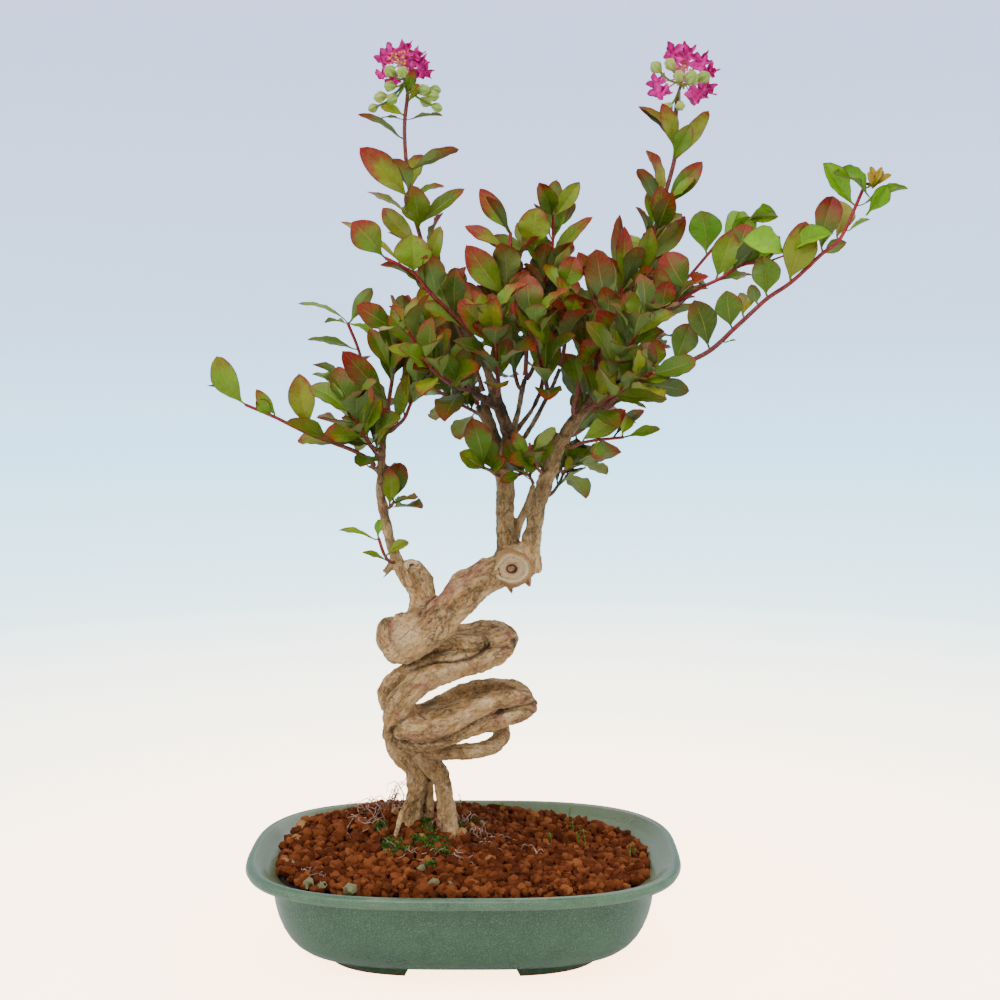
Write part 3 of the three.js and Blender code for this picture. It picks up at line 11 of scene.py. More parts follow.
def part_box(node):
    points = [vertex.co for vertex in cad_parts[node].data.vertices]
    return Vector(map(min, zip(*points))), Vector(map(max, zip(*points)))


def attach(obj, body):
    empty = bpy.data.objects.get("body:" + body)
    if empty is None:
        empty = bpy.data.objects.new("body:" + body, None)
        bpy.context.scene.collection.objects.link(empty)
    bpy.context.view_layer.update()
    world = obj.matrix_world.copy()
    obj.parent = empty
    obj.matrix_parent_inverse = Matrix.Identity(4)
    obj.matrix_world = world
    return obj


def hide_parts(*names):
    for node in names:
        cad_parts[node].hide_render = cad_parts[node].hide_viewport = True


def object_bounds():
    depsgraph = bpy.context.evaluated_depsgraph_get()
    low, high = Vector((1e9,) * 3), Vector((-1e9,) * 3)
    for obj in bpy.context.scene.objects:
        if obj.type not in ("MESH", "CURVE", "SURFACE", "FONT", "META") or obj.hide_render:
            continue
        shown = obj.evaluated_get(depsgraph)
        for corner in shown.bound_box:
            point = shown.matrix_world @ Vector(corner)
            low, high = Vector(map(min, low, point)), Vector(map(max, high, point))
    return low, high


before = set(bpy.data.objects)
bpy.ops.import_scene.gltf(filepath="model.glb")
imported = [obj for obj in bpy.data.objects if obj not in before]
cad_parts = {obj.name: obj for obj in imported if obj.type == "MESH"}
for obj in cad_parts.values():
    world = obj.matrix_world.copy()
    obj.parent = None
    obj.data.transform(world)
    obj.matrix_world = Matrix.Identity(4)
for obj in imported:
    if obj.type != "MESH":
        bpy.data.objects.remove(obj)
cad_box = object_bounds()


# Studio
# A pale floor that sweeps up into a wall all round, cream below and faint blue above. The plant
# stands in its middle, under large soft lamps, seen from the front and a little from above.
MM = 0.001
pot_low, pot_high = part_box("pot")
POT_FOOT = Vector(((pot_low.x + pot_high.x) / 2, (pot_low.y + pot_high.y) / 2, pot_low.z))


def at(x, y, z):
    """A place given in millimetres from the middle of the pot's foot, to the right, back and up."""
    return POT_FOOT + MM * Vector((x, y, z))


def colour(code):
    """A colour written as six hex digits, as the shaders want it."""
    parts = [int(code[i:i + 2], 16) / 255 for i in (0, 2, 4)]
    return [p / 12.92 if p < 0.04045 else ((p + 0.055) / 1.055) ** 2.4 for p in parts] + [1]


def finish_of(name, roughness=0.6):
    """A new material with its node tree and its Principled shader."""
    made = bpy.data.materials.new(name)
    made.use_nodes = True
    shader = made.node_tree.nodes["Principled BSDF"]
    shader.inputs["Roughness"].default_value = roughness
    return made, made.node_tree, shader


def node(tree, kind, inputs=None, **settings):
    """A shader node with its settings, and its inputs set or linked."""
    made = tree.nodes.new("ShaderNode" + kind)
    for key, value in settings.items():
        setattr(made, key, value)
    for key, value in (inputs or {}).items():
        if isinstance(value, bpy.types.NodeSocket):
            tree.links.new(value, made.inputs[key])
        else:
            made.inputs[key].default_value = value
    return made


def give(tree, shader, **links):
    """Links sockets to the shader's inputs, where _ stands for a blank in their names."""
    for key, socket in links.items():
        tree.links.new(socket, shader.inputs[key.replace("_", " ")])


def maths(tree, operation, *values):
    """The result of one step of arithmetic on sockets or numbers."""
    return node(tree, "Math", dict(enumerate(values)), operation=operation).outputs[0]


def times(tree, one, other):
    """The product of two sockets or numbers."""
    return maths(tree, "MULTIPLY", one, other)


def plus(tree, one, other):
    """The sum of two sockets or numbers."""
    return maths(tree, "ADD", one, other)


def object_place(tree):
    """Where a point lies on the object, in metres."""
    return node(tree, "TexCoord").outputs["Object"]


def ramp(tree, share, *stops):
    """A colour picked from stops of place and colour."""
    made = node(tree, "ValToRGB", {"Fac": share})
    elements = made.color_ramp.elements
    while len(elements) < len(stops):
        elements.new(0.5)
    for element, (place, shade) in zip(elements, stops):
        element.position = place
        element.color = colour(shade)
    return made.outputs["Color"]


def spread(tree, value, low, high, to_low=0.0, to_high=1.0):
    """A value stretched from one range to another, and held inside it."""
    inputs = {0: value, 1: low, 2: high, 3: to_low, 4: to_high}
    return node(tree, "MapRange", inputs, clamp=True).outputs[0]


def deselect_all():
    """Leaves nothing selected, so that what is made next stands alone."""
    bpy.ops.object.select_all(action="DESELECT")


def smooth_under(degrees):
    """Shades the active object smooth, but for edges sharper than an angle."""
    bpy.ops.object.shade_smooth_by_angle(angle=math.radians(degrees))


FLOOR_RADIUS = 1.35
FLOOR_SIDES = 96
SWEEP_RADIUS = 0.75
WALL_TOP = 2.6
SWEEP_STEPS = 12

deselect_all()
bpy.ops.mesh.primitive_circle_add(vertices=FLOOR_SIDES, radius=FLOOR_RADIUS, fill_type="NGON")
floor = bpy.context.object
floor.name = "floor"
bpy.ops.object.mode_set(mode="EDIT")
bpy.ops.mesh.select_mode(type="EDGE")
bpy.ops.mesh.select_all(action="SELECT")
radius = FLOOR_RADIUS
height = 0.0
for step in range(1, SWEEP_STEPS + 2):
    turn = min(step, SWEEP_STEPS) / SWEEP_STEPS * math.pi / 2
    wider = FLOOR_RADIUS + SWEEP_RADIUS * math.sin(turn)
    higher = SWEEP_RADIUS * (1 - math.cos(turn)) if step <= SWEEP_STEPS else WALL_TOP
    bpy.ops.mesh.extrude_edges_move(TRANSFORM_OT_translate={"value": (0, 0, higher - height)})
    bpy.ops.transform.resize(value=(wider / radius, wider / radius, 1), center_override=(0, 0, 0))
    radius, height = wider, higher
bpy.ops.mesh.select_all(action="SELECT")
bpy.ops.mesh.normals_make_consistent(inside=True)
bpy.ops.object.mode_set(mode="OBJECT")
smooth_under(40)

BACKDROP_GLOW = 10.0
BACKDROP_REACH = 3.2

paper, tree, shader = finish_of("pale_paper", 0.9)
spot = node(tree, "SeparateXYZ", {"Vector": object_place(tree)}).outputs
squares = plus(tree, times(tree, spot["X"], spot["X"]), times(tree, spot["Y"], spot["Y"]))
out = maths(tree, "POWER", squares, 0.5)
share = spread(tree, plus(tree, out, spot["Z"]), 0.0, BACKDROP_REACH)
wall = ramp(tree, share, (0.0, "f6f1ea"), (0.4, "eef1f0"), (0.6, "dce8ee"), (0.95, "d3d8e6"))
glow = ramp(tree, share, (0.0, "e2b68c"), (0.09, "d9b898"), (0.2, "b0aa98"), (0.4, "6f8b8e"),
            (0.62, "4a7589"), (0.78, "45586e"), (0.95, "434d63"))
seen = times(tree, node(tree, "LightPath").outputs["Is Camera Ray"], BACKDROP_GLOW)
give(tree, shader, Base_Color=wall, Emission_Color=glow, Emission_Strength=seen)
floor.data.materials.append(paper)

# Each lamp's place in metres, its width and its power
LAMPS = {
    "lamp_over_front": ((-0.35, -0.75, 1.45), 1.3, 15.0),
    "lamp_right": ((1.15, -0.35, 0.8), 0.9, 7.5),
    "lamp_left": ((-1.1, -0.5, 0.75), 0.9, 6.0),
    "lamp_behind": ((0.2, 1.15, 1.3), 1.0, 6.0),
}
aim = at(30, 0, 260)
for name, (place, wide, power) in LAMPS.items():
    deselect_all()
    bpy.ops.object.light_add(type="AREA", location=place)
    lamp = bpy.context.object
    lamp.name = name
    lamp.data.size = wide
    lamp.data.energy = power
    lamp.rotation_euler = (aim - lamp.location).to_track_quat("-Z", "Y").to_euler()

sky = bpy.data.worlds.new("studio")
sky.use_nodes = True
above = sky.node_tree.nodes["Background"].inputs
above["Color"].default_value = colour("e8eef6")
above["Strength"].default_value = 1.0
bpy.context.scene.world = sky

CAMERA_AT = (24.6, -835.5, 358.5)
CAMERA_DOWN = 5.69
CAMERA_LEFT = 0.19
CAMERA_LENS = 50.4
CAMERA_SENSOR = 36
deselect_all()
bpy.ops.object.camera_add(location=at(*CAMERA_AT))
camera = bpy.context.object
camera.rotation_euler = (math.radians(90 - CAMERA_DOWN), 0, math.radians(CAMERA_LEFT))
camera.data.lens = CAMERA_LENS
camera.data.sensor_width = CAMERA_SENSOR
camera.data.clip_start = 0.01
camera.data.clip_end = 20
bpy.context.scene.camera = camera


# Pot
# A low oval stoneware pot, pressed in a mould: a curved wall under a wide rolled lip, on a foot
# rim that is cut through on its four sides to leave four feet. It is glazed all over but for the
# bottoms of the feet, where bare reddish clay shows.
POT_SIDES = 112
POT_CORNER = 3
WALL_STEPS = 9
# Rows round the pot, from under its floor over the lip and back in: half its length, half its
# width and the height, in millimetres
FOOT_ROWS = [(77, 42, 6.5), (77, 42, 0), (83, 49, 0), (86, 51, 6.6), (88, 53, 7.6)]
WALL_OUT = [(93, 56.5, 8.5), (115.5, 76.5, 50)]
LIP_ROWS = [(116.4, 77.2, 52), (118.5, 79, 53.1), (125, 85, 54.4), (129.8, 89.3, 56.3),
            (131, 90.5, 58.6), (130.4, 89.9, 60.9), (128.4, 88.2, 62.1), (126.3, 86, 62.2),
            (124.6, 84.3, 61.2), (120.2, 80.2, 57.8), (118.4, 78.6, 56.6), (114.6, 74.6, 55.2)]
WALL_IN = [(97, 59, 13.5), (113, 73, 54)]
FLOOR_IN = (84, 46, 12)
# Each cut through the foot rim: length, width and height, and how far it narrows upwards
FOOT_CUTS = [((72, 130, 5), 9), ((190, 45, 5), 7)]
DRAINS = (-45, 45)
DRAIN_RADIUS = 8
DRAIN_SIDES = 32
DRAIN_MIDDLE = 9
DRAIN_CUT = 30
# How wide and in how many steps the edges are rounded, and from how sharp an angle on
POT_ROUNDING = (0.9, 3, 32)
# From which bend on the glaze looks worn and is painted with a highlight, and how fast,
# and how fast the inside turns dull
WEAR_AND_HIGHLIGHT_FROM = 0.16
WEAR_AND_HIGHLIGHT_REACH = 3.2
INNER_REACH = 2.5


def oval_share(turn):
    """The corner of a rounded oval of half length and half width 1, at that turn."""
    spot = [math.cos(turn), math.sin(turn)]
    return [math.copysign(abs(v) ** (2 / POT_CORNER), v) for v in spot]


def wall_rows(foot, brim):
    """Rows of a wall that leaves the foot flat and ends upright under the brim."""
    rows = []
    for step in range(WALL_STEPS + 1):
        turn = step / WALL_STEPS * math.pi / 2
        out, up = math.sin(turn), 1 - math.cos(turn)
        sides = [foot[i] + (brim[i] - foot[i]) * out for i in (0, 1)]
        rows.append((*sides, foot[2] + (brim[2] - foot[2]) * up))
    return rows


def oval_body(name, rows, sides):
    """A closed oval body, raised from its first row by extruding its rim row by row."""
    deselect_all()
    bpy.ops.mesh.primitive_circle_add(vertices=sides, radius=1, fill_type="NGON",
                                      location=(0, 0, 0))
    body = bpy.context.object
    body.name = name
    for index, corner in enumerate(body.data.vertices):
        x, y = oval_share(2 * math.pi * index / sides)
        corner.co = (MM * rows[0][0] * x, MM * rows[0][1] * y, MM * rows[0][2])
    bpy.ops.object.mode_set(mode="EDIT")
    bpy.ops.mesh.select_mode(type="EDGE")
    bpy.ops.mesh.select_all(action="SELECT")
    for (a, b, z), (wider, deeper, higher) in zip(rows, rows[1:]):
        bpy.ops.mesh.extrude_edges_move(
            TRANSFORM_OT_translate={"value": (0, 0, MM * (higher - z))})
        bpy.ops.transform.resize(value=(wider / a, deeper / b, 1), center_override=(0, 0, 0))
    bpy.ops.mesh.edge_face_add()
    bpy.ops.mesh.select_all(action="SELECT")
    bpy.ops.mesh.normals_make_consistent(inside=False)
    bpy.ops.object.mode_set(mode="OBJECT")
    body.location = POT_FOOT
    bpy.ops.object.transform_apply(location=True, rotation=False, scale=False)
    return body


def pick(piece):
    """Selects one object alone and makes it the active one."""
    deselect_all()
    piece.select_set(True)
    bpy.context.view_layer.objects.active = piece


def cut_out(body, cutter):
    """Cuts one closed shape out of another and deletes it."""
    pick(body)
    cut = body.modifiers.new("cut", "BOOLEAN")
    cut.object = cutter
    cut.solver = "EXACT"
    bpy.ops.object.modifier_apply(modifier=cut.name)
    bpy.data.objects.remove(cutter)


def round_edges(body, width, segments, angle):
    """Rounds the edges that are sharper than an angle, and shades the rest smooth."""
    pick(body)
    bevel = body.modifiers.new("round", "BEVEL")
    bevel.width = MM * width
    bevel.segments = segments
    bevel.limit_method = "ANGLE"
    bevel.angle_limit = math.radians(angle)
    bevel.harden_normals = False
    bpy.ops.object.modifier_apply(modifier=bevel.name)
    smooth_under(35)


pot_rows = FOOT_ROWS + wall_rows(*WALL_OUT) + LIP_ROWS + wall_rows(*WALL_IN)[::-1] + [FLOOR_IN]
pot = oval_body("oval_pot", pot_rows, POT_SIDES)
for (long, deep, high), slant in FOOT_CUTS:
    deselect_all()
    bpy.ops.mesh.primitive_cube_add(size=1, location=at(0, 0, 0))
    cutter = bpy.context.object
    cutter.scale = (MM * long, MM * deep, MM * 2 * high)
    bpy.ops.object.transform_apply(location=False, rotation=False, scale=True)
    across = 0 if long < deep else 1
    for corner in cutter.data.vertices:
        if corner.co.z > 0:
            corner.co[across] -= math.copysign(MM * slant / 2, corner.co[across])
    cut_out(pot, cutter)
for x in DRAINS:
    deselect_all()
    bpy.ops.mesh.primitive_cylinder_add(vertices=DRAIN_SIDES, radius=MM * DRAIN_RADIUS,
                                        depth=MM * DRAIN_CUT, location=at(x, 0, DRAIN_MIDDLE))
    cut_out(pot, bpy.context.object)
round_edges(pot, *POT_ROUNDING)


def new_group(name, inlets, outlets):
    """An empty node group: itself, its inputs and its outputs, all numbers but for a Vector."""
    group = bpy.data.node_groups.new(name, "ShaderNodeTree")
    for way, keys in (("INPUT", inlets), ("OUTPUT", outlets)):
        for key in keys:
            kind = "NodeSocketVector" if key == "Vector" else "NodeSocketFloat"
            group.interface.new_socket(key, in_out=way, socket_type=kind)
    inner = group.nodes
    return group, inner.new("NodeGroupInput").outputs, inner.new("NodeGroupOutput").inputs


def speckle_group():
    """Node group: fine specks, light and dark, over a slow mottle, as masks from 0 to 1."""
    group, given, result = new_group("specks_and_mottle",
                                     ("Vector", "Speck Scale", "Mottle Scale"),
                                     ("Light Specks", "Dark Specks", "Mottle"))
    fine = node(group, "TexNoise", {"Vector": given["Vector"], "Scale": given["Speck Scale"],
                                    "Detail": 3.0, "Roughness": 0.7}).outputs["Fac"]
    slow = node(group, "TexNoise", {"Vector": given["Vector"], "Scale": given["Mottle Scale"],
                                    "Detail": 5.0, "Roughness": 0.62}).outputs["Fac"]
    group.links.new(spread(group, fine, 0.53, 0.68), result["Light Specks"])
    group.links.new(spread(group, fine, 0.47, 0.33), result["Dark Specks"])
    group.links.new(spread(group, slow, 0.32, 0.68), result["Mottle"])
    return group


SPECKS = speckle_group()


def specks(tree, vector, speck_scale, mottle_scale):
    """The outputs of the speck group, placed in a material with its own scales."""
    scales = {"Speck Scale": speck_scale, "Mottle Scale": mottle_scale}
    return node(tree, "Group", {"Vector": vector, **scales}, node_tree=SPECKS).outputs


def stored(tree, name):
    """A value that the mesh stores at its corners."""
    return node(tree, "Attribute", attribute_name=name).outputs["Fac"]


def blend(tree, share, one, other):
    """Two colours mixed by a share from 0 to 1."""
    return node(tree, "Mix", {0: share, 6: one, 7: other}, data_type="RGBA").outputs[2]


def over(tree, base, code, share, most=1.0):
    """A colour laid over another by a share, at most so strongly."""
    if most != 1.0:
        share = times(tree, share, most)
    return blend(tree, share, base, colour(code))


def emboss(tree, shader, height, strength, distance, **settings):
    """Bumps the surface by a height, over a distance in millimetres."""
    inputs = {"Strength": strength, "Distance": distance * MM, "Height": height}
    bump = node(tree, "Bump", inputs, **settings)
    give(tree, shader, Normal=bump.outputs["Normal"])


def rest_on(piece, finish):
    """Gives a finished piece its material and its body."""
    piece.data.materials.clear()
    piece.data.materials.append(finish)
    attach(piece, "root")


glaze, tree, shader = finish_of("sea_green_glaze", 0.3)
place = object_place(tree)
masks = specks(tree, place, 1500.0, 30.0)
height = node(tree, "SeparateXYZ", {"Vector": place}).outputs["Z"]
body = blend(tree, masks["Mottle"], colour("2c4a30"), colour("43633f"))
body = over(tree, body, "7f9f78", masks["Light Specks"], 0.6)
body = over(tree, body, "223c27", masks["Dark Specks"], 0.55)
# Outward edges are painted paler: partly glaze worn thin there, partly a painted highlight.
edge = stored(tree, "edge_wear_and_highlight")
streaks = node(tree, "TexNoise", {"Vector": place, "Scale": 160.0, "Detail": 4.0}).outputs["Fac"]
worn_and_lit = times(tree, edge, spread(tree, streaks, 0.25, 0.6, 0.35, 1.0))
body = over(tree, body, "9fb68e", worn_and_lit, 0.16)
within = stored(tree, "inner_side")
body = over(tree, body, "84845e", within, 0.4)
ragged = times(tree, streaks, 1.3 * MM)
bare = spread(tree, maths(tree, "SUBTRACT", height, ragged), 0.75 * MM, 0.25 * MM)
body = over(tree, body, "8a4a34", bare)
rough = spread(tree, masks["Mottle"], 0.0, 1.0, 0.26, 0.36)
rough = plus(tree, rough, times(tree, bare, 0.5))
give(tree, shader, Base_Color=body, Roughness=rough)
orange_peel = node(tree, "TexNoise", {"Vector": place, "Scale": 240.0, "Detail": 2.0})
emboss(tree, shader, orange_peel.outputs["Fac"], 0.12, 0.4)
shader.inputs["Coat Weight"].default_value = 0.25
shader.inputs["Coat Roughness"].default_value = 0.12


def mark_edges(body, name):
    """Stores how sharply the surface bends outwards at each corner."""
    mesh = body.data
    bends = np.zeros(len(mesh.vertices))
    normals = [v.normal for v in mesh.vertices]
    for a, b in (e.vertices for e in mesh.edges):
        step = mesh.vertices[b].co - mesh.vertices[a].co
        if step.length > 1e-7:
            bend = (normals[b] - normals[a]).dot(step) / step.length_squared
            bends[a] = max(bends[a], bend)
            bends[b] = max(bends[b], bend)
    shares = np.clip((bends * MM - WEAR_AND_HIGHLIGHT_FROM) * WEAR_AND_HIGHLIGHT_REACH, 0, 1)
    mesh.attributes.new(name, "FLOAT", "POINT").data.foreach_set("value", shares)


mark_edges(pot, "edge_wear_and_highlight")
facing_in = []
for corner in pot.data.vertices:
    out = (corner.co - POT_FOOT) * Vector((1, 1, 0))
    facing_in.append(max(0, -INNER_REACH * corner.normal.dot(out.normalized())))
inner = pot.data.attributes.new("inner_side", "FLOAT", "POINT")
inner.data.foreach_set("value", np.clip(facing_in, 0, 1))
rest_on(pot, glaze)
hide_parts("pot")


# Drain mesh
# Two squares of black plastic net lie over the drain holes and keep the soil in. They are pushed
# in by hand, and only show from below.
net_plastic, tree, shader = finish_of("black_net", 0.5)
place = object_place(tree)
dust = specks(tree, place, 900.0, 90.0)
give(tree, shader, Base_Color=over(tree, colour("151515"), "3a2c24", dust["Mottle"]))
for name in ("drain_mesh_left", "drain_mesh_right"):
    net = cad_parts[name]
    net.data.materials.clear()
    net.data.materials.append(net_plastic)


# Soil
# A bed of small fired clay granules, reddish brown and sieved to a few millimetres, poured in and
# heaped round the trunk's foot. A few paler stones lie among them, and fine dry roots show on top.
SOIL_LEVEL = 53
FRONT_RISE = 4 / 80
LEFT_RISE = 3 / 119 ** 2
SOIL_ROUGH = 1.2
# Each heap as x, y, its spread both ways and its rise
HEAPS = [(-30, 15, 55, 45, 14), (-60, 32, 48, 24, 9.5), (5, 62, 60, 32, 7)]
# The bed's wall, in rows like the pot's, and how far its top lies under the granules
BED_UNDER = 3.4
BED_WALL = [(83, 45, 12.6), (95, 57, 17), (104, 66, 27), (110, 70, 38), (112, 72, 50)]
BED_RINGS = 12
BED_SIDES = 64


def soil_height(x, y):
    """The height of the heaped granules at a place in the pot."""
    slope = FRONT_RISE * max(0, -y) + LEFT_RISE * max(0, -x) ** 2
    heaped = sum(rise * math.exp(-((x - a) / long) ** 2 - ((y - b) / deep) ** 2)
                 for a, b, long, deep, rise in HEAPS)
    return SOIL_LEVEL + slope + heaped


def local(spot):
    """A place of the scene back in millimetres from the middle of the pot's foot."""
    return (spot - POT_FOOT) / MM


brim = BED_WALL[-1]
shares = [1 - k / BED_RINGS for k in range(1, BED_RINGS)]
bed_rows = BED_WALL + [(brim[0] * s, brim[1] * s, brim[2] + 1) for s in shares]
bed = oval_body("soil_bed", bed_rows, BED_SIDES)
for corner in bed.data.vertices:
    x, y, z = local(corner.co)
    if z > brim[2] - 0.5:
        rough = SOIL_ROUGH * noise.noise(Vector((x, y, 0)) / 4)
        corner.co = at(x, y, soil_height(x, y) - BED_UNDER + rough)
bpy.ops.object.shade_smooth()

# The bed under the granules is nearly black brown: painted shade that shows in the gaps between them.
soil_dark, tree, shader = finish_of("shaded_soil_bed", 0.95)
place = object_place(tree)
dust = specks(tree, place, 700.0, 150.0)
shade = ramp(tree, dust["Mottle"], (0.2, "160400"), (0.8, "2c0f02"))
give(tree, shader, Base_Color=shade)
emboss(tree, shader, dust["Mottle"], 0.8, 1.2)
rest_on(bed, soil_dark)
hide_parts("soil")


GRAIN_STEP = 4.7
GRAIN_SIDES = 6
GRAIN_BANDS = 5
GRAIN_KINDS = 7
GRAIN_ROOM = (111.8, 71.8)
GRAIN_UNEVEN = 0.62
GRAIN_STRAY = 1.4
ROW_STEP = 0.87 * GRAIN_STEP
# The two layers of grains as half their least and greatest size, their lift and the share kept
GRAIN_LAYERS = [(2.5, 3.9, -0.6, 1.0), (2.2, 3.9, 2.2, 0.75)]
BIG_GRAIN = 4.8
BIG_SHARE = 0.05
TAN_SHARE = 0.02
STONE_LIFT = 2.2
# Pale stones and tan lumps, each as x, y, half its size and its tint
STONES = [(-16, -59, 4.2, 1), (-63, -67, 4.6, 1), (-88, -58, 3.8, 1), (-101, -31, 3.4, 1),
          (-7, -57, 2.8, 1), (-103, -38, 2.6, 1), (-80, -60, 3.2, 1), (-3, 7, 4.6, 0.955),
          (4, 17, 4.2, 0.955), (-43, 20, 5.0, 0.955), (-26, -4, 3.4, 0.955), (-9, 0, 3, 0.955),
          (-104, 30, 5.2, 0.955), (-105, 12, 3.6, 0.955), (-107, -24, 3.8, 0.955),
          (-24, -38, 3.4, 1), (10, 26, 3.2, 1), (52, 12, 2.0, 1), (30, -20, 1.8, 0.955)]


def taken(piece):
    """The corners and the faces of an object, which is then deleted."""
    corners = np.array([v.co for v in piece.data.vertices])
    faces = [list(p.vertices) for p in piece.data.polygons]
    bpy.data.objects.remove(piece)
    return corners, faces


def lumpy_grain(seed):
    """One granule about 1 across: a coarse ball pushed into a blunt, uneven lump."""
    deselect_all()
    bpy.ops.mesh.primitive_uv_sphere_add(segments=GRAIN_SIDES, ring_count=GRAIN_BANDS,
                                         radius=0.5, location=(0, 0, 0))
    lump = bpy.context.object
    for corner in lump.data.vertices:
        push = noise.noise(corner.co * 3.1 + Vector((seed * 7.3, 0, 0)))
        corner.co *= 1 + GRAIN_UNEVEN * push
    return taken(lump)


def turn_to(way):
    """A rotation matrix whose own z points along a direction."""
    return np.array(Vector(way).to_track_quat("Z", "Y").to_matrix())


def turned(draw):
    """A rotation matrix that turns a copy any way round."""
    return turn_to([draw.gauss(0, 1) for _ in range(3)])


def mesh_of(name, parts, attributes=()):
    """One object from many copies, each a list of corners, its faces and its values."""
    corners, faces, first = [], [], 0
    for spots, sides, *_ in parts:
        corners.append(spots)
        faces.extend([first + k for k in side] for side in sides)
        first += len(spots)
    mesh = bpy.data.meshes.new(name)
    mesh.from_pydata(np.concatenate(corners).tolist(), [], faces)
    for index, key in enumerate(attributes):
        values = [np.broadcast_to(part[2 + index], (len(part[0]),)) for part in parts]
        made = mesh.attributes.new(key, "FLOAT", "POINT")
        made.data.foreach_set("value", np.concatenate(values).astype(np.float32))
    made = bpy.data.objects.new(name, mesh)
    bpy.context.collection.objects.link(made)
    pick(made)
    return made


def inside_oval(x, y, a, b):
    """Whether a place lies in a rounded oval of half length a and half width b."""
    return abs(x / a) ** POT_CORNER + abs(y / b) ** POT_CORNER < 1


draw = random.Random(41)
grain_shapes = [lumpy_grain(seed) for seed in range(GRAIN_KINDS)]
grain_places = []
for layer, (low, high, lift, share) in enumerate(GRAIN_LAYERS):
    rows = int(2 * GRAIN_ROOM[1] / ROW_STEP) + 1
    columns = int(2 * GRAIN_ROOM[0] / GRAIN_STEP) + 2
    for row in range(rows):
        for column in range(columns):
            x = -GRAIN_ROOM[0] + GRAIN_STEP * (column + 0.5 * (row % 2) + 0.37 * layer)
            y = -GRAIN_ROOM[1] + ROW_STEP * (row + 0.4 * layer)
            x += draw.uniform(-GRAIN_STRAY, GRAIN_STRAY)
            y += draw.uniform(-GRAIN_STRAY, GRAIN_STRAY)
            size = 2 * draw.uniform(low, high)
            if draw.random() < BIG_SHARE:
                size = 2 * BIG_GRAIN * draw.uniform(0.75, 1)
            tint = min(0.93, draw.uniform(0, 0.85) + (0.1 if draw.random() < TAN_SHARE else 0))
            kept = draw.random() < share
            if kept and inside_oval(x, y, *GRAIN_ROOM):
                up = soil_height(x, y) + lift + draw.uniform(-0.7, 0.7)
                grain_places.append((x, y, up, size, tint))
for x, y, size, tint in STONES:
    grain_places.append((x, y, soil_height(x, y) + STONE_LIFT, 2 * size, tint))
grains = []
for x, y, z, size, tint in grain_places:
    corners, faces = draw.choice(grain_shapes)
    flat = np.array([1, draw.uniform(0.75, 1), draw.uniform(0.6, 0.95)])
    spots = (corners * flat * size * MM) @ turned(draw).T + np.array(at(x, y, z))
    grains.append((spots, faces, tint))
granules = mesh_of("soil_granules", grains, ["tint"])
smooth_under(58)

clay, tree, shader = finish_of("fired_clay", 0.92)
place = object_place(tree)
dust = specks(tree, place, 1500.0, 210.0)
tint = stored(tree, "tint")
shade = ramp(tree, tint, (0.0, "50200a"), (0.4, "6c3214"), (0.8, "945028"), (0.9, "aa6a3a"),
             (0.95, "b8824a"), (0.99, "98946a"))
shader.inputs["Specular IOR Level"].default_value = 0.1
shade = over(tree, shade, "2a0c02", dust["Mottle"], 0.45)
shade = over(tree, shade, "b4713c", dust["Light Specks"], 0.35)
give(tree, shader, Base_Color=shade)
emboss(tree, shader, dust["Light Specks"], 0.7, 0.5)
rest_on(granules, clay)


# Trunk
# One old living stem, wound in two turns round a post when it was young, so that its strands have
# grown into each other. It stands on two legs that are its roots, forks at the top, and its thin
# tan bark is streaked and patched pink and green, with painted shade dark in the folds between
# the strands.
# How much is added to the radius of a strand at least this thick, and to that of a thin one
REMESH_FROM = 3.0
THICKER = 0.45
THIN_MORE = 0.1
TRUNK_VOXEL = 1.15
SOFTENED = 5
LINE_STEP = 1.0
